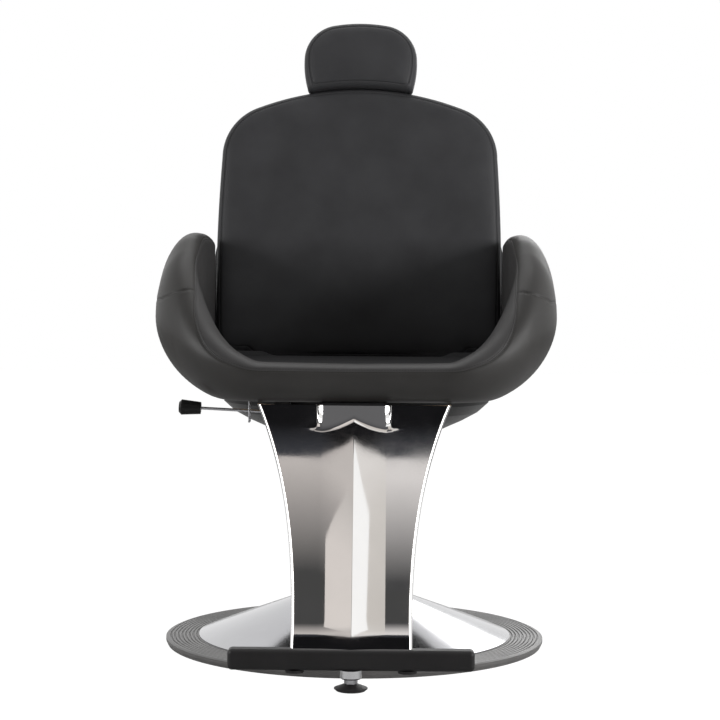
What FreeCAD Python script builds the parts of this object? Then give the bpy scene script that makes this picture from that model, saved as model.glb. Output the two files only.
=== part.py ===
import FreeCAD, Part
import math
import os
import re
import Sketcher

from FreeCAD import Placement, Rotation, Vector

# A threading chair: pump base, swivelling bucket seat, reclining backrest, sliding headrest.
# +X is the right of someone who faces the chair, the chair faces -Y, +Z is up, and the origin is on
# the floor under the pump. All lengths are in millimetres and all angles in degrees.

SIZES = {
    # Clearances and overruns
    "running_fit": 0.05,
    "seat_gap": 0.3,
    "hole_play": 0.2,
    "cut_over": 1,
    # Base ring, plate and cover
    "ring_radius": 310,
    "ring_side_draft": 3,
    "ring_height": 12.5,
    "ring_edge": 4,
    "ring_land": 8,
    "ring_width": 60,
    "rib_depth": 1.8,
    "rib_gap_share": 0.45,
    "plate_thickness": 10,
    "cover_overlap": 6,
    "cover_sheet": 1.5,
    "cover_brim_share": 3,
    "cover_top_width": 22,
    "cover_top_height": 85,
    "cover_lip": 10,
    "collar_height": 8,
    "collar_chamfer": 3,
    # Pump
    "pump_radius": 44,
    "pump_bore": 36,
    "pump_floor": 4,
    "pump_height": 240,
    "pump_flange_radius": 75,
    "pump_flange_thickness": 10,
    "pump_bolt_circle": 60,
    "pump_bolt_radius": 5,
    "pump_bolt_head_radius": 8,
    "pump_bolt_head_height": 8,
    "gland_depth": 14,
    "gland_lip": 8,
    "gland_chamfer": 3,
    # Ram, its head and the tube that hides it
    "ram_radius": 25,
    "ram_foot": 50,
    "piston_height": 22,
    "ram_top": 334,
    "ram_head_thickness": 12,
    "spigot_radius": 15,
    "spigot_length": 22,
    "shroud_gap": 10,
    "shroud_wall": 2,
    "shroud_foot": 150,
    "bearing_radius": 40,
    "bearing_thickness": 7,
    # Pump pedal
    "pedal_pivot_gap": 24,
    "pedal_pivot_height": 118,
    "pedal_pin_radius": 5,
    "pedal_pin_overhang": 3,
    "pedal_bracket_width": 30,
    "pedal_bracket_wall": 6,
    "pedal_bracket_rise": 14,
    "pedal_bracket_sink": 14,
    "pedal_arm_reach": 290,
    "pedal_arm_drop": 26,
    "pedal_arm_depth": 12,
    "pedal_arm_tip_depth": 6,
    "pedal_eye_share": 0.9,
    "pedal_pad_length": 54,
    "pedal_pad_width": 84,
    "pedal_pad_thickness": 10,
    "pedal_pad_round": 4,
    # Chassis under the seat
    "hub_radius": 42,
    "hub_thickness": 9,
    "chassis_thickness": 8,
    "chassis_half_width": 85,
    "chassis_front": 70,
    "chassis_rear": 100,
    "rail_centre": 72,
    "rail_width": 20,
    "rail_top": 412,
    "rail_depth": 20,
    "rail_front": 140,
    "rail_rear": 180,
    "rail_foot_front": 85,
    "rail_foot_rear": 125,
    "chassis_bolt_radius": 4,
    "chassis_bolt_head": 7,
    "chassis_bolt_head_height": 2.2,
    "chassis_bolt_reach": 14,
    "chassis_bolt_share": 0.6,
    "board_thickness": 15,
    "board_side_inset": 134,
    "board_front_inset": 53,
    "board_rear": 150,
    "board_corner": 80,
    # Bucket seat
    "arm_half_width": 329,
    "arm_thickness": 76,
    "arm_rise": 205,
    "arm_rear": 245,
    "arm_foot_drop": 3,
    "arm_foot_inset": 138.5,
    "arm_crest_inset": 58,
    "arm_inner_round": 18,
    "roll_front": 265,
    "roll_thickness": 50,
    "roll_rise": 42,
    "roll_foot_drop": 3,
    "roll_foot_inset": 40,
    "roll_crest_inset": 25,
    "roll_inner_round": 14,
    "bucket_corner": 150,
    "arm_wide_share": 0.546,
    "roll_wide_share": 0.7,
    "bucket_belly_share": 0.926,
    "bucket_draw_in": 9.7,
    "arm_ledge_rise": 15,
    "arm_shelf": 57,
    "roll_shelf": 2,
    "bucket_heel_share": 0.7,
    "bucket_end_round": 12,
    # Seat cushion
    "cushion_rise": 39,
    "cushion_gap": 1,
    "cushion_rear": 186,
    "cushion_corner": 122,
    "cushion_rear_corner": 30,
    # Pan under the seat
    "pan_side_reach": 24,
    "pan_front": 180,
    "pan_rear": 215,
    "pan_rim_drop": 16,
    "pan_depth": 51,
    "pan_wall": 2.5,
    "pan_hole_radius": 62,
    "pan_notch_reach": 100,
    "pan_notch_play": 3,
    # Footrest panel
    "panel_top_gap": 3,
    "panel_top_front": 240,
    "panel_foot_front": 395,
    "panel_top_half_width": 148,
    "panel_foot_half_width": 88.7,
    "panel_wall": 6,
    "panel_flange": 24,
    "panel_bevel": 6,
    "panel_ridge": 8,
    "panel_ridge_half_width": 27,
    "panel_ridge_crest": 1.5,
    "panel_ridge_bend_share": 0.35,
    "panel_ridge_fall_share": 0.4,
    "panel_ridge_rise_share": 0.5,
    "panel_inner_share": 1.5,
    "panel_block_half_width": 56.7,
    "panel_block_rise": 21,
    "panel_block_height": 54,
    "panel_block_draft": 7,
    "panel_flare_share": 0.3846,
    "panel_ridge_start_share": 0.924,
    "panel_ridge_full_share": 0.445,
    "panel_ridge_least_share": 0.04,
    "panel_tongue_depth": 11,
    "panel_tongue_rise": 38,
    "panel_tongue_lift": 4,
    # Bracket between panel and rails
    "bracket_half_width": 50,
    "bracket_thickness": 9,
    "bracket_rear": 60,
    "bracket_reach": 76,
    "bracket_web": 10,
    "panel_bolt_radius": 4,
    "panel_bolt_head": 7,
    "panel_bolt_head_height": 5,
    "panel_bolt_drop": 30,
    "panel_bolt_spread": 36,
    "panel_bolt_seat_share": 0.4,
    # Foot bar
    "bar_half_width": 179,
    "bar_foot": 32,
    "bar_height": 30.5,
    "bar_overhang": 17,
    "bar_depth": 30,
    "bar_round": 7,
    "bar_core_margin": 8,
    "bar_end_margin": 12,
    "glide_spread": 82,
    "glide_radius": 14,
    "glide_height": 4,
    "boss_radius": 16.3,
    "boss_height": 13,
    "boss_chamfer": 2,
    # Levelling foot
    "foot_stud_radius": 5,
    "foot_clear": 1.5,
    "foot_pad_radius": 24.5,
    "foot_pad_base_radius": 21,
    "foot_pad_rim": 3,
    "foot_pad_band": 1.2,
    "foot_pad_neck_radius": 8.5,
    "foot_pad_height": 10.5,
    "foot_nut_across": 17,
    "foot_nut_height": 6,
    "foot_stud_reach": 26,
    # Recline hinge
    "hinge_overhang": 25,
    "hinge_rise": 28,
    "hinge_eye": 14,
    "hinge_pin_radius": 6,
    "hinge_plate": 8,
    "hinge_plate_side": 75,
    "hinge_plate_foot": 156,
    "hinge_heel_share": 0.9,
    "hinge_heel_drop_share": 0.3,
    "hinge_pin_overhang": 3,
    "side_gap": 1,
    # Gas spring
    "gas_arm": 57,
    "gas_arm_width_share": 0.9,
    "gas_arm_lag_angle": 21,
    "gas_side": 99,
    "gas_radius": 11,
    "gas_bore": 9,
    "gas_front": 112,
    "gas_rear": 60,
    "gas_head_length": 12,
    "gas_rod_radius": 5,
    "gas_rod_front": 20,
    "gas_piston_length": 10,
    "gas_eye_width": 10,
    "gas_eye_reach": 11,
    "gas_eye_rise": 13,
    "gas_pin_radius": 4,
    "gas_slot_play": 5,
    "gas_slot_lift": 1,
    "gas_slot_side": 0.6,
    "gas_mount_depth": 12,
    "gas_mount_rise": 12,
    "gas_mount_drop": 7.2,
    # Backrest, measured along its own lean
    "back_lean_angle": 12,
    "back_front": 15,
    "back_foot": 29,
    "back_top": 510,
    "back_side_gap": 1,
    "back_foot_taper": 7,
    "back_lip_drop": 13,
    "back_lip_half_width": 184,
    "back_lip_slope": 16,
    "back_foot_corner": 26,
    "back_shoulder": 384,
    "back_shoulder_taper": 6,
    "back_bend_out_share": 0.25,
    "back_bend_up_share": 0.59,
    "back_crest": 476,
    "back_crest_inset": 71,
    "back_foam": 57,
    "back_board_thickness": 10,
    "back_board_inset": 12,
    "back_shell_thickness": 24,
    "frame_bar_width": 8,
    "frame_bar_depth": 10,
    "frame_bar_top": 420,
    "frame_bar_rise": 10,
    "frame_cross": 30,
    # Headrest guide and posts
    "guide_foot": 320,
    "guide_sink": 13,
    "guide_half_width": 52,
    "guide_depth": 22,
    "post_spread": 35,
    "post_radius": 6,
    "post_foot_lift": 8,
    "post_rise": 56,
    "yoke_depth": 14,
    "yoke_height": 13,
    "yoke_half_width": 45,
    # Headrest
    "tilt_rise": 17,
    "tilt_pin_radius": 5,
    "tilt_pin_overhang": 2,
    "tilt_lug": 9,
    "tilt_lug_half_width": 12,
    "tilt_ear": 6,
    "tilt_back": 58,
    "head_half_width": 101.5,
    "head_foot_drop": 58.8,
    "head_height": 120.2,
    "head_front": 24,
    "head_foam": 60,
    "head_plate_thickness": 5,
    "head_foot_taper": 11.2,
    "head_foot_round": 7,
    "head_side_share": 0.4226,
    "head_waist_inset": 0.9,
    "head_bend_inset": 13.2,
    "head_bend_drop": 29,
    "head_crown_inset": 50,
    "head_crown_drop": 4.9,
    "head_plate_share": 0.2,
    # Release lever
    "lever_forward": 174,
    "lever_pivot_inset": 107,
    "lever_drop": 23,
    "lever_slope_angle": 2.7,
    "lever_rod_radius": 2.3,
    "lever_rod_length": 140,
    "lever_hub_radius": 7,
    "lever_hub_length": 14,
    "lever_pin_radius": 3,
    "lever_bracket_wall": 5,
    "lever_bracket_width": 24,
    "lever_bracket_drop": 11,
    "knob_start": 128,
    "knob_length": 34,
    "knob_radius": 12,
    "knob_neck_radius": 9.5,
    "knob_round": 4,
    "guide_wire_radius": 1.5,
    "guide_wire_reach": 52,
    "guide_wire_spread": 8,
    "guide_wire_drop": 14,
}

# Places that follow from the sizes
PLACES = {
    "ring_plate_radius": "ring_radius - ring_width",
    "cover_seat": "ring_height",
    "cover_top_radius": "pump_radius + cover_top_width",
    "collar_base": "cover_top_height",
    "cover_radius": "ring_plate_radius + cover_overlap",
    "pump_base": "plate_thickness",
    "pump_flange_top": "pump_base + pump_flange_thickness",
    "shroud_inner_radius": "pump_radius + shroud_gap",
    "shroud_outer_radius": "shroud_inner_radius + shroud_wall",
    "pedal_pivot_reach": "pump_radius + pedal_pivot_gap",
    "pedal_bracket_back": "pump_radius - pedal_bracket_sink",
    "bearing_top": "ram_top + bearing_thickness",
    "hub_base": "bearing_top + seat_gap",
    "chassis_base": "hub_base + hub_thickness",
    "chassis_top": "chassis_base + chassis_thickness",
    "rail_bottom": "rail_top - rail_depth",
    "rail_inner": "rail_centre - rail_width / 2",
    "rail_outer": "rail_centre + rail_width / 2",
    "board_base": "rail_top",
    "board_top": "board_base + board_thickness",
    "board_half_width": "arm_half_width - board_side_inset",
    "board_front": "roll_front - board_front_inset",
    "roll_top": "board_top + roll_rise",
    "roll_foot": "rail_top - roll_foot_drop",
    "arm_top": "roll_top + arm_rise",
    "arm_foot": "rail_top - arm_foot_drop",
    "arm_foot_half_width": "arm_half_width - arm_foot_inset",
    "cushion_base": "board_top + seat_gap",
    "cushion_top": "board_top + cushion_rise",
    "pan_half_width": "board_half_width + pan_side_reach",
    "pan_rim": "rail_top - pan_rim_drop",
    "pan_floor": "pan_rim - pan_depth",
    "panel_top": "roll_foot - panel_top_gap",
    "panel_block_front": "panel_top_front + panel_block_rise",
    "panel_block_foot": "panel_top - panel_block_height",
    "bar_front": "panel_foot_front + bar_overhang",
    "bar_top": "bar_foot + bar_height",
    "panel_foot": "bar_top",
    "bar_rear": "bar_front - bar_depth",
    "bar_middle": "bar_front - bar_depth / 2",
    "boss_foot": "bar_foot - boss_height",
    "foot_pad_top": "foot_clear + foot_pad_height",
    "bracket_top": "roll_foot - seat_gap",
    "bracket_base": "bracket_top - bracket_thickness",
    "bracket_foot": "panel_top - bracket_reach",
    "panel_slope": "(panel_foot_front - panel_top_front) / (panel_top - bar_top)",
    "hinge_back": "rail_rear + hinge_overhang",
    "hinge_height": "rail_top + hinge_rise",
    "gas_height": "hinge_height - gas_arm * cos(gas_arm_lag_angle)",
    "gas_pin_back": "hinge_back + gas_arm * sin(gas_arm_lag_angle)",
    "gas_arm_half_width": "frame_bar_rise * gas_arm_width_share",
    "frame_bar_inner": "hinge_plate_side + hinge_plate + side_gap",
    "frame_bar_outer": "frame_bar_inner + frame_bar_width",
    "back_half_width": "arm_half_width - arm_thickness - back_side_gap",
    "back_foot_half_width": "back_half_width - back_foot_taper",
    "back_shoulder_half_width": "back_half_width - back_shoulder_taper",
    "back_crest_half_width": "back_half_width - back_crest_inset",
    "board_front_depth": "back_foam - back_front",
    "frame_depth": "board_front_depth + back_board_thickness",
    "guide_top": "back_top - guide_sink",
    "post_depth": "board_front_depth + guide_depth / 2",
    "post_foot": "guide_foot + post_foot_lift",
    "post_top": "guide_top + post_rise",
    "tilt_height": "post_top + tilt_rise",
    "head_foot": "tilt_height - head_foot_drop",
    "head_plate_depth": "head_foam - head_front",
    "head_plate_back": "head_plate_depth + head_plate_thickness",
    "head_top": "head_foot + head_height",
    "lever_pivot_side": "pan_half_width - lever_pivot_inset",
    "guide_wire_side": "lever_pivot_side + guide_wire_reach",
    "lever_pivot_height": "rail_top - lever_drop",
    "lever_bracket_foot": "lever_pivot_height - lever_bracket_drop",
    "guide_wire_foot": "lever_pivot_height - guide_wire_drop",
}

doc = FreeCAD.newDocument("threading_chair")
NODES = []


def fill_sheet(name, rows):
    """A sheet with a word in column A and the value that it names in column B."""
    sheet = doc.addObject("Spreadsheet::Sheet", name)
    for row, (alias, content) in enumerate(rows.items(), 1):
        sheet.set("A%d" % row, alias.replace("_", " "))
        sheet.set("B%d" % row, content)
        sheet.setAlias("B%d" % row, alias)
    return sheet


def formula(text):
    """Writes each named size in a formula as a reference to its cell."""
    def cell(match):
        word = match.group()
        if word in SIZES:
            return "dim." + word
        return "place." + word if word in PLACES else word
    return re.sub(r"[a-z]\w*", cell, text)


dim = fill_sheet("dim", {alias: str(number) for alias, number in SIZES.items()})
doc.recompute()
place = fill_sheet("place", {alias: "=" + formula(text) for alias, text in PLACES.items()})
doc.recompute()


class Sizes:
    """Reads a named size or place for code that needs its number."""

    def __getattr__(self, alias):
        cell = (dim if alias in SIZES else place).get(alias)
        return float(getattr(cell, "Value", cell))


v = Sizes()


def node(item):
    """Keeps an object as a sub-part, under its own label."""
    NODES.append(item)
    return item


def tie(item, **formulas):
    """Binds properties to formulas of the named sizes."""
    for prop, text in formulas.items():
        item.setExpression(prop, formula(text))
    return item


def shift(item, x="0", y="0", z="0"):
    """Binds an object's place to formulas."""
    for axis, text in (("x", x), ("y", y), ("z", z)):
        item.setExpression("Placement.Base." + axis, formula(text))
    return item


def lean(item):
    """Stands an object of the backrest's own frame on the recline hinge, leaning back."""
    item.Placement = Placement(Vector(), Rotation(Vector(-1, 0, 0), 1))
    shift(item, "0", "hinge_back", "hinge_height")
    item.setExpression("Placement.Rotation.Angle", formula("back_lean_angle"))
    return item


def outline(body, plane, points, start="0"):
    """A closed sketch of straight edges through (across, up) formulas."""
    sketch = body.newObject("Sketcher::SketchObject", body.Name + "_outline")
    base = [item for item in body.Origin.OriginFeatures if item.Role == plane][0]
    sketch.AttachmentSupport = [(base, "")]
    sketch.MapMode = "FlatFace"
    if start != "0":
        sketch.setExpression("AttachmentOffset.Base.z", formula(start))
    count = len(points)
    corners = [Vector(math.cos(math.tau * i / count), math.sin(math.tau * i / count)) for i in range(count)]
    for i in range(count):
        sketch.addGeometry(Part.LineSegment(corners[i], corners[(i + 1) % count]), False)
    for i in range(count):
        sketch.addConstraint(Sketcher.Constraint("Coincident", i, 2, (i + 1) % count, 1))
    for i, (across, up) in enumerate(points):
        for kind, text, now in (("DistanceX", across, corners[i].x), ("DistanceY", up, corners[i].y)):
            index = sketch.addConstraint(Sketcher.Constraint(kind, -1, 1, i, 1, now))
            sketch.setExpression("Constraints[%d]" % index, formula(text))
    return sketch


def turned(label, points):
    """A body turned about Z from (radius, height) formulas."""
    body = doc.addObject("PartDesign::Body", label)
    sketch = outline(body, "XZ_Plane", points)
    turn = body.newObject("PartDesign::Revolution", label + "_turn")
    turn.Profile = sketch
    turn.ReferenceAxis = (sketch, ["V_Axis"])
    return body


def padded(label, plane, points, start, length):
    """A body padded from an outline on an origin plane, from start along the plane's normal."""
    body = doc.addObject("PartDesign::Body", label)
    sketch = outline(body, plane, points, start)
    pad = body.newObject("PartDesign::Pad", label + "_pad")
    pad.Profile = sketch
    tie(pad, Length=length)
    return body


def box(label, x, y, z):
    """A block between two limits along each axis."""
    item = doc.addObject("Part::Box", label)
    for side, axis, (low, high) in (("Length", "x", x), ("Width", "y", y), ("Height", "z", z)):
        item.setExpression(side, formula("(%s) - (%s)" % (high, low)))
        item.setExpression("Placement.Base." + axis, formula(low))
    return item


def rod(label, along, radius, length, x="0", y="0", z="0"):
    """A cylinder that starts at a point and runs along +X, +Y or +Z."""
    item = doc.addObject("Part::Cylinder", label)
    turns = {"X": Rotation(Vector(0, 1, 0), 90), "Y": Rotation(Vector(1, 0, 0), -90), "Z": Rotation()}
    item.Placement = Placement(Vector(), turns[along])
    tie(item, Radius=radius, Height=length)
    return shift(item, x, y, z)


def fuse(label, *items):
    """Joins objects, or groups separate solids of one kind."""
    item = doc.addObject("Part::MultiFuse", label)
    item.Shapes = list(items)
    return item


def wrapped(label, item):
    """Keeps an object's own place inside a holder that gets a place of its own."""
    holder = doc.addObject("Part::Compound", label)
    holder.Links = [item]
    return holder


def cut(label, base, *tools):
    """Takes tools out of a base."""
    item = doc.addObject("Part::Cut", label)
    item.Base = base
    item.Tool = tools[0] if len(tools) == 1 else fuse(label + "_tools", *tools)
    return item


def rounded(label, item, radius):
    """Rounds every edge of a block."""
    fillet = doc.addObject("Part::Fillet", label)
    fillet.Base = item
    doc.recompute()
    fillet.Edges = [(index + 1, radius, radius) for index in range(len(item.Shape.Edges))]
    return fillet


def made(label, shape):
    """A sub-part whose shape is built from the sizes in code."""
    item = doc.addObject("Part::Feature", label)
    item.Shape = shape
    return item


# Base


def base_ring():
    """The rubber ring: a flat land for the cover, then concentric ribs out to a drafted edge."""
    ribs = 8
    land_edge = "ring_plate_radius + ring_land"
    pitch = "(ring_radius - ring_edge - (%s)) / %d" % (land_edge, ribs)
    points = [("ring_plate_radius", "0"), ("ring_radius - ring_side_draft", "0"),
              ("ring_radius", "ring_height / 2"), ("ring_radius", "ring_height - rib_depth"),
              ("ring_radius - ring_edge", "ring_height")]
    for rib in range(ribs, 0, -1):
        groove_out = "%s + (%s) * (%d - rib_gap_share)" % (land_edge, pitch, rib)
        groove_in = "%s + (%s) * %d" % (land_edge, pitch, rib - 1)
        if rib < ribs:
            points.append(("%s + (%s) * %d" % (land_edge, pitch, rib), "ring_height"))
        points.append((groove_out, "ring_height"))
        points.append(("(%s) - rib_depth / 2" % groove_out, "ring_height - rib_depth"))
        points.append(("(%s) + rib_depth / 2" % groove_in, "ring_height - rib_depth"))
    points.append((land_edge, "ring_height"))
    points.append(("ring_plate_radius", "ring_height"))
    return node(turned("rubber_ring", points))


def base():
    base_ring()
    plate = rod("base_disc", "Z", "ring_plate_radius", "plate_thickness")
    flange = turned("pump_casting", [
        ("0", "pump_base"), ("pump_flange_radius", "pump_base"),
        ("pump_flange_radius", "pump_flange_top"), ("pump_radius", "pump_flange_top"),
        ("pump_radius", "pump_height"), ("pump_bore", "pump_height"),
        ("pump_bore", "pump_flange_top + pump_floor"), ("0", "pump_flange_top + pump_floor")])
    bolts, plate_holes, flange_holes = [], [], []
    count = 6
    for index in range(count):
        angle = 360 * (index + 0.5) / count
        spot = ("pump_bolt_circle * cos(%g)" % angle, "pump_bolt_circle * sin(%g)" % angle)
        bolts.append(rod("pump_bolt_shank_%d" % index, "Z", "pump_bolt_radius",
                         "pump_flange_top - cut_over", *spot, "cut_over"))
        bolts.append(rod("pump_bolt_head_%d" % index, "Z", "pump_bolt_head_radius",
                         "pump_bolt_head_height", *spot, "pump_flange_top"))
        plate_holes.append(rod("plate_hole_%d" % index, "Z", "pump_bolt_radius + running_fit",
                               "plate_thickness + cut_over", *spot, "cut_over / 2"))
        flange_holes.append(rod("flange_hole_%d" % index, "Z", "pump_bolt_radius + hole_play",
                                "pump_flange_thickness + cut_over * 2", *spot, "pump_base - cut_over"))
    node(cut("base_plate", plate, *plate_holes))
    node(cut("pump_cylinder", flange, *flange_holes))
    node(fuse("pump_bolts", *bolts))
    node(turned("base_cover", [
        ("cover_radius", "cover_seat"), ("cover_radius", "cover_seat + cover_sheet"),
        ("cover_top_radius", "cover_top_height"), ("cover_top_radius - cover_lip", "cover_top_height"),
        ("cover_top_radius - cover_lip", "cover_top_height - cover_sheet"),
        ("cover_top_radius - cover_sheet", "cover_top_height - cover_sheet"),
        ("cover_radius - cover_sheet * cover_brim_share", "cover_seat")]))
    node(turned("cover_collar", [
        ("pump_radius + seat_gap", "collar_base"), ("cover_top_radius - cover_sheet", "collar_base"),
        ("cover_top_radius - cover_sheet", "collar_base + collar_height - collar_chamfer"),
        ("cover_top_radius - cover_sheet - collar_chamfer", "collar_base + collar_height"),
        ("pump_radius + seat_gap", "collar_base + collar_height")]))
    node(turned("pump_gland", [
        ("ram_radius + running_fit", "pump_height - gland_depth"), ("pump_bore", "pump_height - gland_depth"),
        ("pump_bore", "pump_height"), ("pump_radius", "pump_height"),
        ("pump_radius", "pump_height + gland_lip - gland_chamfer"),
        ("pump_radius - gland_chamfer", "pump_height + gland_lip"),
        ("ram_radius + running_fit", "pump_height + gland_lip")]))


def pedal():
    low = "pedal_pivot_height - pedal_bracket_rise"
    high = "pedal_pivot_height + pedal_bracket_rise"
    inner = "pedal_bracket_width / 2 - pedal_bracket_wall"
    block = box("pedal_block", ("-pedal_bracket_width / 2", "pedal_bracket_width / 2"),
                ("pedal_bracket_back", "pedal_pivot_reach + pedal_bracket_rise"), (low, high))
    slot = box("pedal_slot", ("-(%s)" % inner, inner),
               ("pedal_pivot_reach - pedal_bracket_rise",
                "pedal_pivot_reach + pedal_bracket_rise + cut_over"),
               ("%s - cut_over" % low, "%s + cut_over" % high))
    barrel = rod("pedal_barrel", "Z", "pump_radius", "pump_height", z="pump_flange_top")
    bore = rod("pedal_bracket_bore", "X", "pedal_pin_radius", "pedal_bracket_width + cut_over * 2",
               "-pedal_bracket_width / 2 - cut_over", "pedal_pivot_reach", "pedal_pivot_height")
    node(cut("pedal_bracket", block, slot, barrel, bore))
    node(rod("pedal_pin", "X", "pedal_pin_radius", "pedal_bracket_width + pedal_pin_overhang * 2",
             "-pedal_bracket_width / 2 - pedal_pin_overhang", "pedal_pivot_reach", "pedal_pivot_height"))
    tip = "pedal_pivot_height - pedal_arm_drop"
    arm = padded("pedal_bar", "YZ_Plane", [
        ("pedal_pivot_reach", "pedal_pivot_height - pedal_arm_depth / 2"),
        ("pedal_arm_reach - pedal_pad_length", "%s - pedal_arm_tip_depth" % tip),
        ("pedal_arm_reach", "%s - pedal_arm_tip_depth" % tip), ("pedal_arm_reach", tip),
        ("pedal_arm_reach - pedal_pad_length", tip),
        ("pedal_pivot_reach", "pedal_pivot_height + pedal_arm_depth / 2")],
        "-(%s - side_gap)" % inner, "(%s - side_gap) * 2" % inner)
    eye = rod("pedal_eye", "X", "pedal_arm_depth * pedal_eye_share", "(%s - side_gap) * 2" % inner,
              "-(%s - side_gap)" % inner, "pedal_pivot_reach", "pedal_pivot_height")
    eye_bore = rod("pedal_eye_bore", "X", "pedal_pin_radius + running_fit", "pedal_bracket_width",
                   "-pedal_bracket_width / 2", "pedal_pivot_reach", "pedal_pivot_height")
    node(cut("pedal_arm", fuse("pedal_arm_blank", arm, eye), eye_bore))
    pad = box("pedal_pad_block", ("-pedal_pad_width / 2", "pedal_pad_width / 2"),
              ("pedal_arm_reach - pedal_pad_length", "pedal_arm_reach"),
              (tip, "%s + pedal_pad_thickness" % tip))
    node(rounded("pedal_pad", pad, v.pedal_pad_round))


def ram():
    node(turned("ram", [
        ("0", "ram_foot"), ("pump_bore - running_fit", "ram_foot"),
        ("pump_bore - running_fit", "ram_foot + piston_height"), ("ram_radius", "ram_foot + piston_height"),
        ("ram_radius", "ram_top"), ("spigot_radius", "ram_top"),
        ("spigot_radius", "ram_top + spigot_length"), ("0", "ram_top + spigot_length")]))
    node(turned("ram_head", [
        ("ram_radius", "ram_top - ram_head_thickness"),
        ("shroud_inner_radius", "ram_top - ram_head_thickness"),
        ("shroud_inner_radius", "ram_top"), ("ram_radius", "ram_top")]))
    node(turned("shroud_tube", [
        ("shroud_inner_radius", "shroud_foot"), ("shroud_outer_radius", "shroud_foot"),
        ("shroud_outer_radius", "ram_top"), ("shroud_inner_radius", "ram_top")]))
    node(turned("thrust_bearing", [
        ("spigot_radius + running_fit", "ram_top"), ("bearing_radius", "ram_top"),
        ("bearing_radius", "bearing_top"), ("spigot_radius + running_fit", "bearing_top")]))


# Seat chassis


def chassis():
    node(turned("swivel_hub", [
        ("spigot_radius + running_fit", "hub_base"), ("hub_radius", "hub_base"),
        ("hub_radius", "chassis_base"), ("spigot_radius + running_fit", "chassis_base")]))
    slab = box("chassis_slab", ("-chassis_half_width", "chassis_half_width"),
               ("-chassis_front", "chassis_rear"), ("chassis_base", "chassis_top"))
    hole = rod("chassis_hole", "Z", "spigot_radius + hole_play", "chassis_thickness + cut_over * 2",
               z="chassis_base - cut_over")
    bolts, slab_holes, rail_holes = [], [], []
    spots = [(side, end) for side in (-1, 1) for end in ("-rail_foot_front", "rail_foot_rear")]
    for index, (side, end) in enumerate(spots):
        back = "(%s) * chassis_bolt_share" % end
        across = "rail_centre * %d" % side
        bolts.append(rod("chassis_shank_%d" % index, "Z", "chassis_bolt_radius",
                         "chassis_thickness + chassis_bolt_reach", across, back, "chassis_base"))
        bolts.append(rod("chassis_head_%d" % index, "Z", "chassis_bolt_head", "chassis_bolt_head_height",
                         across, back, "chassis_base - chassis_bolt_head_height"))
        slab_holes.append(rod("chassis_hole_%d" % index, "Z", "chassis_bolt_radius + hole_play",
                              "chassis_thickness + cut_over * 2", across, back, "chassis_base - cut_over"))
        rail_holes.append(rod("rail_hole_%d" % index, "Z", "chassis_bolt_radius + running_fit",
                              "chassis_bolt_reach + cut_over * 2", across, back, "chassis_top - cut_over"))
    node(cut("chassis_plate", slab, hole, *slab_holes))
    node(fuse("chassis_bolts", *bolts))
    rails = []
    for name, start in (("left", "-rail_outer"), ("right", "rail_inner")):
        rails.append(padded("rail_" + name, "YZ_Plane", [
            ("-rail_foot_front", "chassis_top"), ("rail_foot_rear", "chassis_top"),
            ("rail_rear", "rail_bottom"), ("rail_rear", "rail_top"),
            ("-rail_front", "rail_top"), ("-rail_front", "rail_bottom")], start, "rail_width"))
    node(cut("chassis_rails", fuse("rail_pair", *rails), *rail_holes))
    node(made("seat_board", prism(board_outline(), v.board_base, v.board_thickness)))


def board_outline():
    """The seat board in plan: a square rear edge and front corners that follow the bucket."""
    wide, front, rear, turn = v.board_half_width, -v.board_front, v.board_rear, v.board_corner
    diagonal = turn * (1 - math.sqrt(0.5))
    return wire_of([
        ("line", (-wide, rear), (wide, rear)),
        ("line", (wide, rear), (wide, front + turn)),
        ("arc", (wide, front + turn), (wide - diagonal, front + diagonal), (wide - turn, front)),
        ("line", (wide - turn, front), (turn - wide, front)),
        ("arc", (turn - wide, front), (diagonal - wide, front + diagonal), (-wide, front + turn)),
        ("line", (-wide, front + turn), (-wide, rear))], "XY", 0)


def wire_of(edges, plane, level):
    """A closed wire from line and arc rows given in a plane at a level."""
    def point(pair):
        a, b = pair
        return {"XY": Vector(a, b, level), "XZ": Vector(a, level, b), "YZ": Vector(level, a, b)}[plane]
    shapes = []
    for kind, *points in edges:
        if kind == "line":
            shapes.append(Part.LineSegment(point(points[0]), point(points[1])).toShape())
        else:
            shapes.append(Part.Arc(*[point(pair) for pair in points]).toShape())
    return Part.Wire(shapes)


def prism(wire, level, height):
    """A flat piece with a plan outline."""
    solid = Part.Face(wire).extrude(Vector(0, 0, height))
    solid.translate(Vector(0, 0, level))
    return solid


# Bucket seat: one section swept round a U, from arm to front roll


def bucket_section(turn, top, pinch, draw):
    """The section's size at a share of the way from arm (0) to roll (1), its outer side drawn in."""
    def between(arm, roll):
        return arm + (roll - arm) * turn
    half = between(v.arm_thickness, v.roll_thickness) / 2
    arm_foot = v.arm_foot_half_width - (v.arm_half_width - v.arm_thickness / 2)
    roll_foot = v.roll_thickness / 2 - v.roll_foot_inset
    return {
        "inner": pinch - half,
        "outer": half - pinch - v.bucket_draw_in * draw,
        "foot": between(arm_foot, roll_foot) + pinch * 3 * (1 - turn),
        "crest": half - between(v.arm_crest_inset, v.roll_crest_inset),
        "low": between(v.arm_foot, v.roll_foot) + pinch,
        "top": top - pinch,
        "round": between(v.arm_inner_round, v.roll_inner_round),
        "ledge": v.board_top + v.arm_ledge_rise * (1 - turn) + pinch,
        "shelf": pinch - half - between(v.arm_shelf, v.roll_shelf),
        "wide": between(v.arm_wide_share, v.roll_wide_share),
    }


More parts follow.
